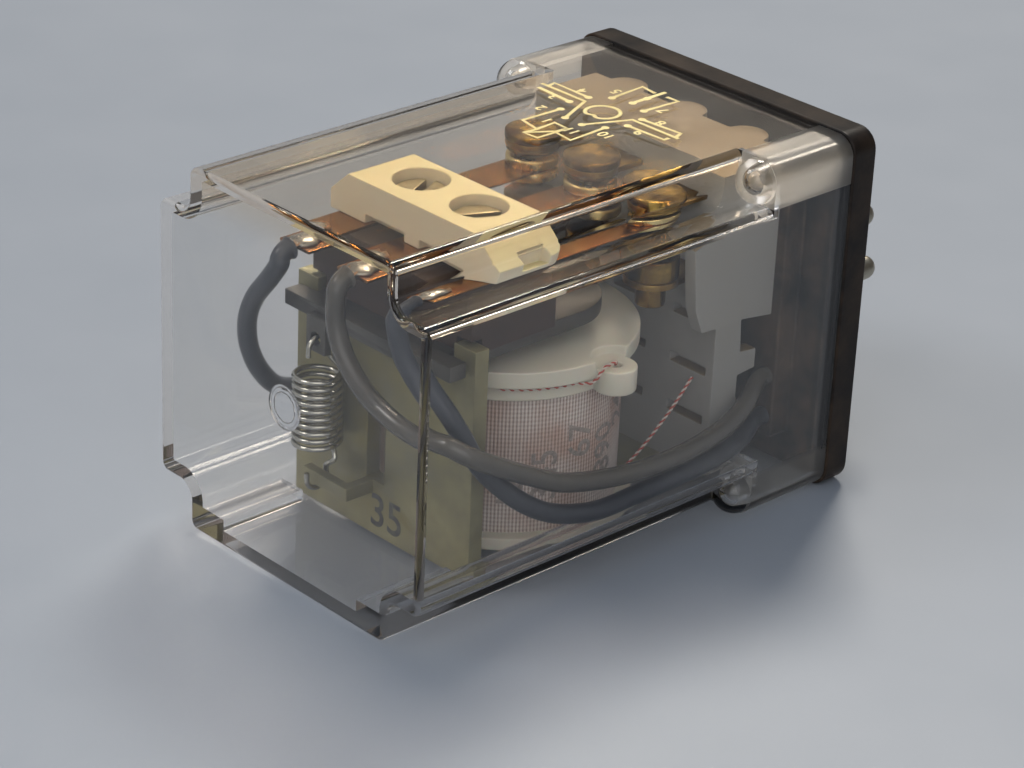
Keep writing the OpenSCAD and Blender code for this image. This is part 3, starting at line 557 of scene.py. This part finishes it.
stained = mixed(nodes, second=paint("dcb9a6"), way="MULTIPLY")
bump = nodes.new("ShaderNodeBump")
bump.inputs["Distance"].default_value = 0.00006
links.new(place_on_tape.outputs["Object"], centred.inputs["Vector"])
links.new(centred.outputs["Vector"], parts.inputs["Vector"])
links.new(parts.outputs["Y"], around.inputs[0])
links.new(parts.outputs["X"], around.inputs[1])
links.new(around.outputs["Value"], ribs.inputs[0])
links.new(ribs.outputs["Value"], rib_wave.inputs[0])
links.new(parts.outputs["Z"], picks.inputs[0])
links.new(picks.outputs["Value"], pick_wave.inputs[0])
links.new(pick_wave.outputs["Value"], weave.inputs[0])
links.new(rib_wave.outputs["Value"], weave.inputs[2])
links.new(weave.outputs["Value"], thread.inputs["Value"])
links.new(thread.outputs["Result"], thread_colour.inputs["Factor"])
links.new(place_on_tape.outputs["Object"], stain.inputs["Vector"])
links.new(stain.outputs["Fac"], stain_range.inputs["Value"])
links.new(stain_range.outputs["Result"], stained.inputs["Factor"])
links.new(thread_colour.outputs["Result"], stained.inputs["A"])
links.new(stained.outputs["Result"], shader.inputs["Base Color"])
links.new(thread.outputs["Result"], bump.inputs["Height"])
links.new(bump.outputs["Normal"], shader.inputs["Normal"])
links.new(shader.outputs["BSDF"], output.inputs["Surface"])
tape.data.materials.append(tape_material)
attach(tape, "frame")
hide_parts("coil_tape")


# Ends of the coil wire
# Two fine enamelled wires leave the coil as a twisted pair of one red and one white strand. One runs
# along the ledge and into the boss, and the other goes slanting up to the carrier.
def catmull(points, steps):
    """Points on a smooth curve through the given points."""
    ring = [Vector(p) for p in points]
    ring = [2 * ring[0] - ring[1]] + ring + [2 * ring[-1] - ring[-2]]
    found = []
    for a, b, c, d in zip(ring, ring[1:], ring[2:], ring[3:]):
        for i in range(steps):
            t = i / steps
            found.append(0.5 * (2 * b + (c - a) * t + (2 * a - 5 * b + 4 * c - d) * t * t
                                + (3 * b - a - 3 * c + d) * t ** 3))
    found.append(ring[-2])
    return found


def wire(name, points, radius, sides=12, swell=()):
    """A round wire along the points, as a mesh with closed ends. swell widens its first points."""
    curve = bpy.data.curves.new(name, "CURVE")
    curve.dimensions = "3D"
    curve.bevel_depth = radius
    curve.bevel_resolution = max(1, sides // 4 - 1)
    curve.use_fill_caps = True
    line = curve.splines.new("POLY")
    line.points.add(len(points) - 1)
    for point, place in zip(line.points, points):
        point.co = (*place, 1)
    for point, factor in zip(line.points, swell):
        point.radius = factor
    piece = bpy.data.objects.new(name, curve)
    bpy.context.scene.collection.objects.link(piece)
    select_only(piece)
    bpy.ops.object.convert(target="MESH")
    piece = bpy.context.object
    smooth(piece, 60)
    return piece


def joined(pieces, name):
    """Joins pieces into one mesh under a name."""
    select_only(pieces[0])
    for piece in pieces:
        piece.select_set(True)
    bpy.ops.object.join()
    whole = bpy.context.object
    whole.name = name
    return whole


def twisted(name, route, radius, lay, materials):
    """A pair of strands twisted round each other along a route."""
    line = catmull(route, 24)
    strands = []
    for side in (0, 1):
        travelled, points = 0.0, []
        normal = Vector((0.3, 0.9, 0.2))
        for i, place in enumerate(line):
            ahead = line[min(i + 1, len(line) - 1)] - line[max(i - 1, 0)]
            ahead.normalize()
            normal = (normal - normal.dot(ahead) * ahead).normalized()
            across = ahead.cross(normal)
            if i:
                travelled += (place - line[i - 1]).length
            turn = 2 * math.pi * travelled / lay + math.pi * side
            points.append(place + radius * (math.cos(turn) * normal + math.sin(turn) * across))
        strand = wire(f"{name}_{side}", points, radius, 8)
        strand.data.materials.append(materials[side])
        strands.append(strand)
    return joined(strands, name)


red_enamel = finish("red_enamel", "b8402a", "8c2a1c", "d8765a", patch_scale=1500, gloss=(0.2, 0.4))
white_strand = finish("white_strand", "d9cfc4", "b09a90", "efe8de", patch_scale=1500, gloss=(0.35, 0.5))
ledge_height = 1.5
below_ledge = 0.2
ledge_wire_z = coil_high.z / MM + ledge_height - below_ledge
ledge_wire_radius = 11.75
flange_radius = 12.2
strand_radius = 0.085 * MM
twist_length = 0.8 * MM
coil_x = coil_middle.x / MM
round_ledge = [
    (ledge_wire_radius * math.cos(math.radians(a)), ledge_wire_radius * math.sin(math.radians(a)), 0)
    for a in (224, 237, 250, 259)
]
past_flange = [
    (-1.3, 0.1, 0), (-0.9, 0.5, 0.4), (-0.6, 0.7, 1), (-0.1, 0.8, 1.5), (0.9, 0.8, 1.6), (1.6, 0.4, 1.3),
    (1.8, 0.2, 0.8), (1.8, 0.2, 0.2),
]
ledge_wire_route = round_ledge + [(x, -flange_radius - out, z) for x, out, z in past_flange]
slant_wire_route = [(7.25, -8.64, -13.2), (9.2, -9.4, -11), (12, -10, -7.8), (14.6, -9.9, -5.4)]
ledge_wire = twisted(
    "coil_wire_on_ledge",
    [((x + coil_x) * MM, y * MM, (z + ledge_wire_z) * MM) for x, y, z in ledge_wire_route],
    strand_radius, twist_length, (red_enamel, white_strand),
)
slant_wire = twisted(
    "coil_wire_to_carrier", [((x + coil_x) * MM, y * MM, z * MM) for x, y, z in slant_wire_route],
    strand_radius, twist_length, (red_enamel, white_strand),
)
for piece in (ledge_wire, slant_wire):
    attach(piece, "frame")
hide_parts("coil_lead_wires")


# Armature
# A dark nickel plated iron plate lies over the core and tips on the upper edge of the yoke.
# It carries the stack of contact springs.
armature = eased("armature", 0.12 * MM)
armature.data.materials.append(finish(
    "armature_nickel", "625e58", "46423c", "9a958b", patch_scale=260, gloss=(0.3, 0.5), Metallic=0.9,
))


# Lower insulating block
# A dark brown laminated block keeps the springs off the armature. The clamp screws hold it down
# together with them.
lower_block = eased("lower_block", 0.1 * MM)
lower_block.data.materials.append(finish(
    "brown_laminate", "3a2b24", "2a201c", "5c4638", patch_scale=300, gloss=(0.4, 0.6),
))


# Moving springs and contacts
# Three phosphor bronze leaves run from the leads to the contacts. Each ends in a domed contact, plated
# with a pale gold coloured metal above and below.
leaf_bronze = finish(
    "leaf_bronze", "a05c1a", "5e3510", "ecb86a", patch_scale=260, share=0.8, wear=0.5,
    gloss=(0.14, 0.3), grain=(5000, 0.000004), Metallic=1.0,
)
contact_gold = finish(
    "contact_gold", "fbe2a0", "d8b468", "fff0c0", patch_scale=450, share=0.7, wear=0.5,
    gloss=(0.2, 0.36), grain=(5000, 0.000006), Metallic=1.0,
)
for pole in (1, 2, 3):
    leaf = eased(f"moving_spring_{pole}", 0.05 * MM)
    leaf.data.materials.append(leaf_bronze)
    contact = eased(f"moving_contact_{pole}", 0.16 * MM, segments=3)
    contact.data.materials.append(contact_gold)


# Clamp block and its screws
# A pale beige moulding with sloped ends holds the springs down. Two slotted screws stand in round
# counterbores, and each end has a small square pocket.
clamp = eased("clamp_block", 0.14 * MM, segments=3)
# The faces of the clamp block that look up get a faint painted warm light.
clamp.data.materials.append(finish(
    "beige_moulding", "e4d9be", "d6cab0", "ece6d2", patch_scale=140, share=0.5, wear=0.4,
    gloss=(0.4, 0.55), grain=(2600, 0.000012), upper="e8e5c3",
    Subsurface_Weight=0.08, Subsurface_Scale=0.001,
))
clamp_screws = eased("clamp_screws", 0.1 * MM)
clamp_screws.data.materials.append(finish(
    "brassy_screw", "b3a681", "8c7f5c", "dcd2b0", patch_scale=500, gloss=(0.2, 0.4), Metallic=1.0,
))


# Return spring
# A close wound steel spring pulls the tail of the armature down. Its upper hook goes through the tab of
# the armature and its lower hook round the anchor strip of the yoke.
spring_x, spring_y = -45.9, 5.0
spring_mean, spring_wire_d = 2.14, 0.5
spring_bottom, spring_top, spring_turns = -8.3, -1.0, 10
hook_radius, upper_hook_z, lower_hook_z = 1.15, 1.2, -11.55


def hook_bend(side, height):
    """Half a ring of wire about a height, below it where side is -1 and above it where side is 1."""
    return [
        (spring_x + side * hook_radius * math.cos(a), spring_y, height + side * hook_radius * math.sin(a))
        for a in (math.radians(degrees) for degrees in range(0, 181, 15))
    ]


lower_hook = [
    (spring_x - hook_radius, spring_y, lower_hook_z + 0.6),
    *hook_bend(-1, lower_hook_z),
    (spring_x + hook_radius, spring_y, lower_hook_z + 0.8),
    (spring_x + 1.7, spring_y - 0.5, lower_hook_z + 1.5),
]
upper_hook = [
    (spring_x + 1.8, spring_y + 0.6, spring_top + 0.75),
    (spring_x + hook_radius, spring_y, upper_hook_z - 0.7),
    *hook_bend(1, upper_hook_z),
    (spring_x - hook_radius, spring_y, upper_hook_z - 0.6),
]
helix_steps = 28
helix = [
    (
        spring_x + spring_mean * math.cos(2 * math.pi * i / helix_steps),
        spring_y + spring_mean * math.sin(2 * math.pi * i / helix_steps),
        spring_bottom + (spring_top - spring_bottom) * i / (helix_steps * spring_turns),
    )
    for i in range(helix_steps * spring_turns + 1)
]
# Each hook runs on in a smooth bend into the turns next to it
lower_part = catmull(lower_hook + helix[2:6:3], 4)
upper_part = catmull(helix[-6:-2:3] + upper_hook, 4)
spring_line = lower_part[:-4] + [Vector(p) for p in helix[5:-6]] + upper_part[4:]
spring = wire("return_spring_wound", [p * MM for p in spring_line], spring_wire_d / 2 * MM, 12)
spring.data.materials.append(finish(
    "spring_steel", "c4bfb2", "8a8578", "e6e2d6", patch_scale=800, gloss=(0.08, 0.22), Metallic=1.0,
))
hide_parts("return_spring")
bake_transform(spring)


# Leads
# Three insulated wires bring the moving springs to the base. They are soldered to the spring tails,
# hang down behind the yoke and run along the coil to the plinth.
lead_radius = 0.9
cut_end_swell = (1.12, 1.2, 1.18, 1.1, 1.04)
bend_radius, tail_x, spring_z, lead_gap = 1.3, -46.5, 10.2, 0.4
pole_pitch = 7.8
plinth_x, lead_end_length = -6.5, 0.9
lead_routes = {
    1: ([
        (-48.2, 9.2, 7), (-48, 11.4, 4.4), (-47.6, 12.9, 1.6), (-47, 13.4, -1.4), (-45.8, 13.2, -4.2),
        (-43.6, 13.2, -6.4), (-39.6, 13.6, -7.6), (-35, 14, -8.4), (-30, 14.3, -8.8), (-25, 14.3, -8.8),
        (-20, 14.1, -8.6), (-15.6, 13.8, -8.4), (-12, 13.5, -8.2), (-9.8, 13, -7.6), (-8.2, 12.3, -7),
    ], pole_pitch, (11.9, -6.8)),
    2: ([
        (-48.2, 0, 6), (-48.2, -1.4, 3.2), (-48.1, -4, 0.9), (-48, -7.4, -0.4), (-48.1, -11, -0.7),
        (-48, -13.4, -0.5), (-46.8, -15, -1.3), (-44.2, -15.5, -2.8), (-40.4, -15.5, -4.9),
        (-36.6, -15.5, -6.8), (-31.8, -15.5, -8.1), (-27, -15.5, -8.8), (-22, -15.3, -9.1),
        (-17.6, -14.8, -9.1), (-13.6, -14.1, -8.8), (-10.6, -13.3, -8), (-8.6, -12.4, -7.1),
    ], 0, (-11.9, -6.8)),
    3: ([
        (-48, -8.5, 6.2), (-47.3, -10, 3.6), (-46.4, -11.6, 1.2), (-45.6, -12.6, -0.9), (-44.7, -13.2, -3),
        (-43, -13.9, -5.3), (-40.4, -14.8, -7.8), (-37, -15.3, -9.8), (-32, -15.4, -11.2),
        (-27, -15.4, -11.25), (-22, -15.3, -11.25), (-17.4, -15, -11.25), (-13.4, -14.4, -11.2),
        (-10.4, -13.3, -11.1), (-8.6, -12.3, -11),
    ], -pole_pitch, (-11.9, -11)),
}
dark_sheath = finish(
    "dark_sheath", "2d3037", "3a3d45", "5a5c62", patch_scale=500, share=0.6, wear=0.2,
    gloss=(0.26, 0.42), grain=(1500, 0.00001),
)
grey_sheath = finish(
    "grey_sheath", "4a453d", "34302c", "857f74", patch_scale=500, share=0.7, wear=0.2,
    gloss=(0.16, 0.3), grain=(1500, 0.00001), Coat_Weight=0.3, Coat_Roughness=0.15,
)
for number, (route, pole_y, (end_y, end_z)) in lead_routes.items():
    bend = [
        (tail_x - lead_gap - bend_radius * math.sin(math.radians(a)), pole_y,
         spring_z - bend_radius * (1 - math.cos(math.radians(a))))
        for a in (0, 22.5, 45, 67.5, 90)
    ]
    points = bend + route + [(plinth_x - lead_end_length, end_y, end_z), (plinth_x, end_y, end_z)]
    lead = wire(
        f"lead_{number}_sheath", [p * MM for p in catmull(points, 6)], lead_radius * MM, 24,
        swell=cut_end_swell,
    )
    lead.data.materials.append(grey_sheath if number == 2 else dark_sheath)
    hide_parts(f"lead_{number}")
    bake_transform(lead)


# Solder joints
# The bare strands of each lead are laid on the tail of its spring and soldered there. The solder has
# run out into a low uneven mound with the ends of the strands in it.
solder = finish(
    "soft_solder", "a9a59c", "807b71", "d5d2ca", patch_scale=900, share=0.7, wear=0.6,
    gloss=(0.18, 0.4), grain=(1800, 0.00005), Metallic=1.0,
)
strand_copper = finish(
    "strand_copper", "c08a5a", "a9a094", "e2b88c", patch_scale=1200, share=0.8,
    gloss=(0.2, 0.36), Metallic=1.0,
)
leaf_top = 10.35
mound_x, mound_rise, mound_size = tail_x + 1.25, 0.12, (1.55, 1.3, 0.5)
strand_count, strand_pitch, bare_strand_radius = 5, 0.3, 0.13
for number, (_, pole_y, _) in lead_routes.items():
    mound_place = Vector((mound_x, pole_y, leaf_top + mound_rise)) * MM
    bpy.ops.mesh.primitive_uv_sphere_add(segments=40, ring_count=24, radius=1 * MM, location=mound_place)
    mound = bpy.context.object
    mound.name = f"solder_joint_{number}"
    mound.scale = mound_size
    apply_place()
    for v in mound.data.vertices:
        around = math.atan2(v.co.y - mound_place.y, v.co.x - mound_place.x)
        lean = 1 + 0.09 * math.sin(3 * around + number) + 0.05 * math.sin(5 * around + 2 * number)
        v.co.x = mound_place.x + (v.co.x - mound_place.x) * lean
        v.co.y = mound_place.y + (v.co.y - mound_place.y) * lean
        v.co.z = max(v.co.z, (leaf_top + 0.004) * MM)
    smooth(mound, 50)
    mound.data.materials.append(solder)
    strands = []
    for k in range(strand_count):
        spread = (k - strand_count // 2) * strand_pitch
        strand = wire(f"strand_{number}_{k}", [p * MM for p in catmull([
            (tail_x - lead_gap - 0.35, pole_y + spread * 0.7, spring_z + 0.05 * (k % 2)),
            (tail_x + 0.1, pole_y + spread, leaf_top + 0.26),
            (tail_x + 1.4, pole_y + spread * 1.1, leaf_top + 0.36),
            (tail_x + 2.9 + 0.2 * (k % 3), pole_y + spread * 1.3, leaf_top + 0.14),
        ], 5)], bare_strand_radius * MM, 8)
        strand.data.materials.append(strand_copper)
        strands.append(strand)
    bundle = joined(strands, f"bare_strands_{number}")
    for piece in (mound, bundle):
        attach(piece, "armature_group")


# Clear cover
# A thin box of clear plastic with a faint smoky tint, moulded in one piece. Its long edges are notched,
# and round ears fill the notches next to the base. The ears are slightly milky.
cover_low, cover_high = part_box("cover")
edge_round = 0.45 * MM
ear_length = 10.6 * MM
notch_depth = 4.35 * MM
ear_roughness = 0.07
ear_milk = 0.3
haze_roughness = 0.05
amber_start, amber_full = 4.2 * MM, 1.4 * MM
clear_tint = (0.984, 0.973, 0.958, 1)
amber_tint = (0.99, 0.905, 0.79, 1)
shadow_tint = (0.775, 0.765, 0.76, 1)
edge_tint = (0.97, 0.95, 0.93, 1)
milk_white = (0.86, 0.84, 0.80, 1)
cover = merged_copy("cover")
bpy.ops.object.mode_set(mode="EDIT")
bpy.ops.mesh.select_all(action="DESELECT")
shell = bmesh.from_edit_mesh(cover.data)
for e in shell.edges:
    on_end = all(v.co.x < cover_low.x + 0.01 * MM for v in e.verts)
    if on_end and e.calc_face_angle(0) > math.radians(40):
        e.select_set(True)
bmesh.update_edit_mesh(cover.data)
bpy.ops.mesh.bevel(offset=edge_round, segments=5, affect="EDGES", clamp_overlap=False)
bpy.ops.object.mode_set(mode="OBJECT")
seat(cover, "cover")

clear_plastic, nodes, links, output = blank_material("clear_plastic")
shader = nodes.new("ShaderNodeBsdfPrincipled")
shader.inputs["Transmission Weight"].default_value = 1.0
shader.inputs["IOR"].default_value = 1.49
shader.inputs["Metallic"].default_value = 0.0
place_on_cover = nodes.new("ShaderNodeTexCoord")
along = nodes.new("ShaderNodeSeparateXYZ")
links.new(place_on_cover.outputs["Object"], along.inputs["Vector"])

# The plastic has gone a little amber at its top
near_top = ranged(nodes, cover_high.z - amber_start, cover_high.z - amber_full)
tint = mixed(nodes, clear_tint, amber_tint)
links.new(along.outputs["Z"], near_top.inputs["Value"])
links.new(near_top.outputs["Result"], tint.inputs["Factor"])
links.new(tint.outputs["Result"], shader.inputs["Base Color"])

# The ears are what lies in the four corners, next to the base
ear_start = figured(nodes, "GREATER_THAN", cover_high.x - ear_length)
off_side = figured(nodes, "ABSOLUTE")
off_top = figured(nodes, "ABSOLUTE")
nearest_corner = figured(nodes, "MINIMUM")
in_corner = figured(nodes, "GREATER_THAN", cover_high.y - notch_depth)
in_ear = figured(nodes, "MULTIPLY")
links.new(along.outputs["X"], ear_start.inputs[0])
links.new(along.outputs["Y"], off_side.inputs[0])
links.new(along.outputs["Z"], off_top.inputs[0])
links.new(off_side.outputs["Value"], nearest_corner.inputs[0])
links.new(off_top.outputs["Value"], nearest_corner.inputs[1])
links.new(nearest_corner.outputs["Value"], in_corner.inputs[0])
links.new(ear_start.outputs["Value"], in_ear.inputs[0])
links.new(in_corner.outputs["Value"], in_ear.inputs[1])

# A faint haze lies on the whole cover, and the ears are rougher
haze = nodes.new("ShaderNodeTexNoise")
haze.inputs["Scale"].default_value = 90
haze.inputs["Detail"].default_value = 4
haze_range = ranged(nodes, to_max=haze_roughness)
frosted = figured(nodes, "MULTIPLY_ADD", ear_roughness)
links.new(place_on_cover.outputs["Object"], haze.inputs["Vector"])
links.new(haze.outputs["Fac"], haze_range.inputs["Value"])
links.new(in_ear.outputs["Value"], frosted.inputs[0])
links.new(haze_range.outputs["Result"], frosted.inputs[2])
links.new(frosted.outputs["Value"], shader.inputs["Roughness"])

# A ray that two walls have thrown back goes straight on, which keeps the edges clear
ray = nodes.new("ShaderNodeLightPath")
many_turns = figured(nodes, "GREATER_THAN", 1.5)
straight_on = nodes.new("ShaderNodeBsdfTransparent")
straight_on.inputs["Color"].default_value = edge_tint
for_edges = nodes.new("ShaderNodeMixShader")
links.new(ray.outputs["Glossy Depth"], many_turns.inputs[0])
links.new(many_turns.outputs["Value"], for_edges.inputs["Fac"])
links.new(shader.outputs["BSDF"], for_edges.inputs[1])
links.new(straight_on.outputs["BSDF"], for_edges.inputs[2])

# The ears scatter a part of the light
milk = nodes.new("ShaderNodeBsdfTranslucent")
milk.inputs["Color"].default_value = milk_white
milk_share = figured(nodes, "MULTIPLY", ear_milk)
for_ears = nodes.new("ShaderNodeMixShader")
links.new(in_ear.outputs["Value"], milk_share.inputs[0])
links.new(milk_share.outputs["Value"], for_ears.inputs["Fac"])
links.new(for_edges.outputs["Shader"], for_ears.inputs[1])
links.new(milk.outputs["BSDF"], for_ears.inputs[2])

# The lamps shine through the walls, which cast a weak shadow
see_through = nodes.new("ShaderNodeBsdfTransparent")
see_through.inputs["Color"].default_value = shadow_tint
for_lamps = nodes.new("ShaderNodeMixShader")
links.new(ray.outputs["Is Shadow Ray"], for_lamps.inputs["Fac"])
links.new(for_ears.outputs["Shader"], for_lamps.inputs[1])
links.new(see_through.outputs["BSDF"], for_lamps.inputs[2])
links.new(for_lamps.outputs["Shader"], output.inputs["Surface"])
cover.data.materials.append(clear_plastic)


# Gate mark
# The cover was moulded from the middle of its end wall, where the plastic went in. A small clear bump
# with a ring round it is left on the inside.
cover_wall = 1.2 * MM
gate_place = (cover_low.x + cover_wall + 0.02 * MM, 0.8 * MM, -0.8 * MM)
bump_size = (0.28, 1.45, 1.45)
gate_ring_radius = 1.95 * MM
gate_ring_thickness = 0.16 * MM


def keep_inner_half():
    """Cuts off the half of the active object that would lie inside the end wall."""
    apply_place()
    edit_all()
    bpy.ops.mesh.bisect(plane_co=gate_place, plane_no=(1, 0, 0), use_fill=True, clear_inner=True)
    bpy.ops.object.mode_set(mode="OBJECT")


bpy.ops.mesh.primitive_uv_sphere_add(segments=40, ring_count=20, radius=1 * MM, location=gate_place)
gate_bump = bpy.context.object
gate_bump.scale = bump_size
keep_inner_half()
bpy.ops.mesh.primitive_torus_add(
    major_segments=56, minor_segments=14, major_radius=gate_ring_radius, minor_radius=gate_ring_thickness,
    location=gate_place, rotation=(0, math.pi / 2, 0),
)
gate_ring = bpy.context.object
keep_inner_half()
gate_mark = joined([gate_bump, gate_ring], "gate_mark")
smooth(gate_mark, 50)
gate_mark.data.materials.append(clear_plastic)
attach(gate_mark, "frame")


# Printed pin diagram
# Cream ink on the top of the cover shows the plug from above: the ring of pins with their numbers, the
# three changeover contacts and the coil between pins two and ten.
ink_thickness = 0.012 * MM
ink_z = cover_high.z - ink_thickness
ink_width = 0.44
ink_flatness = 0.05
digit_share = 0.72
ring_middle = Vector((-16.6, 0.9))
ring_radius = 3.85
number_ring_radius = 5.65
number_height = 1.15
dot_radius = 0.38 * MM


def pin_angle(number):
    """The angle at which a pin is printed. Pin six is nearest to the base."""
    return math.radians((6 - number) * 360 / 11)


def on_ring(number, radius):
    """The place at a pin's angle, at a radius from the middle of the diagram."""
    return ring_middle + radius * Vector((math.cos(pin_angle(number)), math.sin(pin_angle(number))))


def ink_line(points):
    """A flat printed line along points in millimetres, seen from above."""
    line = wire("ink_line", [Vector((p[0], p[1], 0)) * MM for p in points], ink_width / 2 * MM, 8)
    for v in line.data.vertices:
        v.co.z = ink_z + v.co.z * ink_flatness
    return line


def number_mesh(digits, height, name):
    """Digits from the built-in font as a thin mesh, centred, reading along X with their tops towards Y."""
    bpy.ops.object.text_add(location=(0, 0, 0))
    text = bpy.context.object
    text.data.body = digits
    text.data.align_x = "CENTER"
    text.data.align_y = "CENTER"
    text.data.size = height * MM / digit_share
    text.data.extrude = 0.005 * MM
    text.data.offset = 0.04 * MM
    text.name = name
    select_only(text)
    bpy.ops.object.convert(target="MESH")
    return bpy.context.object


key_ring_radius, key_depth, key_spread, key_angle = 1.62, 0.45, 0.32, math.pi
central_ring = []
for i in range(61):
    a = 2 * math.pi * i / 60
    key_reach = key_ring_radius - key_depth * math.exp(-((a - key_angle) / key_spread) ** 2)
    central_ring.append(ring_middle + key_reach * Vector((math.cos(a), math.sin(a))))
pole_stroke = {1: [(-15.95, 3.9), (-15.95, 9.7)], 11: [(-15.75, -2.1), (-15.75, -7.95)], 6: [(-8.3, 1.0)]}
throw_stroke = {
    3: [(-16.9, 9.15)], 4: [(-14.92, 9.05), (-15.75, 8.85)], 8: [(-14.65, -7.15), (-15.6, -7.5)],
    9: [(-16.95, -7.3), (-16.3, -7.3)], 5: [(-9.0, 3.35), (-9.3, 1.4)], 7: [(-9.05, -1.35), (-9.1, 0.1)],
    2: [(-23.8, 3.9), (-24.3, 1.45), (-25.8, 1.6)], 10: [(-23.75, -2.3), (-23.45, 0.1), (-22.0, -0.1)],
}
coil_symbol = [(-24.3, 1.5), (-21.9, 1.68), (-22.0, -0.12), (-25.7, -0.06), (-25.8, 1.6), (-23.45, 0.15)]
marks = [ink_line(central_ring), ink_line(coil_symbol)]
for stroke in (pole_stroke, throw_stroke):
    for number, points in stroke.items():
        marks.append(ink_line([on_ring(number, ring_radius)] + points))
for number in range(1, 12):
    dot_place = on_ring(number, ring_radius)
    bpy.ops.mesh.primitive_cylinder_add(
        vertices=24, radius=dot_radius, depth=ink_thickness,
        location=(dot_place.x * MM, dot_place.y * MM, ink_z),
    )
    marks.append(bpy.context.object)
    apply_place()
    digit_place = on_ring(number, number_ring_radius)
    digits = number_mesh(str(number), number_height, "pin_number")
    digits.data.transform(Matrix((
        (0, -1, 0, digit_place.x * MM), (1, 0, 0, digit_place.y * MM), (0, 0, 1, ink_z), (0, 0, 0, 1),
    )))
    marks.append(digits)
pin_diagram = joined(marks, "printed_pin_diagram")
cream_ink = finish(
    "cream_ink", "efe6b4", "e3d79c", "fbf5d6", patch_scale=1400, share=0.6, wear=0.0, gloss=(0.4, 0.6),
)
pin_diagram.data.materials.append(cream_ink)
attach(pin_diagram, "frame")


# Numbers on the coil tape
# Plain numbers are printed up the woven tape in faint grey ink, and follow its curve. The ink has
# soaked in, so they are hardly raised.
faint_ink = finish("faint_ink", "7b6f69", "a3968d", "b5a99f", patch_scale=2500, share=0.9, gloss=(0.6, 0.8))
tape_marks = []
for digits, angle, rise, height in (
    ("12", -128, -11.0, 2.4), ("345", -112, -9.4, 2.5), ("67", -93, -6.6, 2.6),
    ("890", -76, -8.6, 2.5), ("24", -62, -5.6, 2.3),
):
    row = number_mesh(digits, height, "tape_number")
    select_only(row)
    edit_all()
    bpy.ops.mesh.subdivide(number_cuts=2)
    bpy.ops.object.mode_set(mode="OBJECT")
    for v in row.data.vertices:
        turn = math.radians(angle) - v.co.y / tape_radius
        reach = tape_radius + ink_thickness + v.co.z
        v.co = Vector((
            coil_middle.x + reach * math.cos(turn), reach * math.sin(turn), rise * MM + v.co.x,
        ))
    tape_marks.append(row)
tape_numbers = joined(tape_marks, "tape_numbers")
tape_numbers.data.materials.append(faint_ink)
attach(tape_numbers, "frame")


# Number stamped on the yoke
# Two plain digits in dark ink stand on the outside of the upright yoke plate, under its window. They
# were stamped on the finished zinc.
yoke_back_x = -43.2 * MM
stamp_y, stamp_z = -1.5 * MM, -14.0 * MM
stamp_height = 3.3
stamp = number_mesh("35", stamp_height, "yoke_stamp")
stamp.data.transform(Matrix((
    (0, 0, -1, yoke_back_x - ink_thickness), (-1, 0, 0, stamp_y), (0, 1, 0, stamp_z), (0, 0, 0, 1),
)))
stamp.data.materials.append(finish(
    "stamp_ink", "2e2b2a", "5a564c", "6f6a5e", patch_scale=1500, share=0.8, gloss=(0.45, 0.6),
))
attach(stamp, "frame")
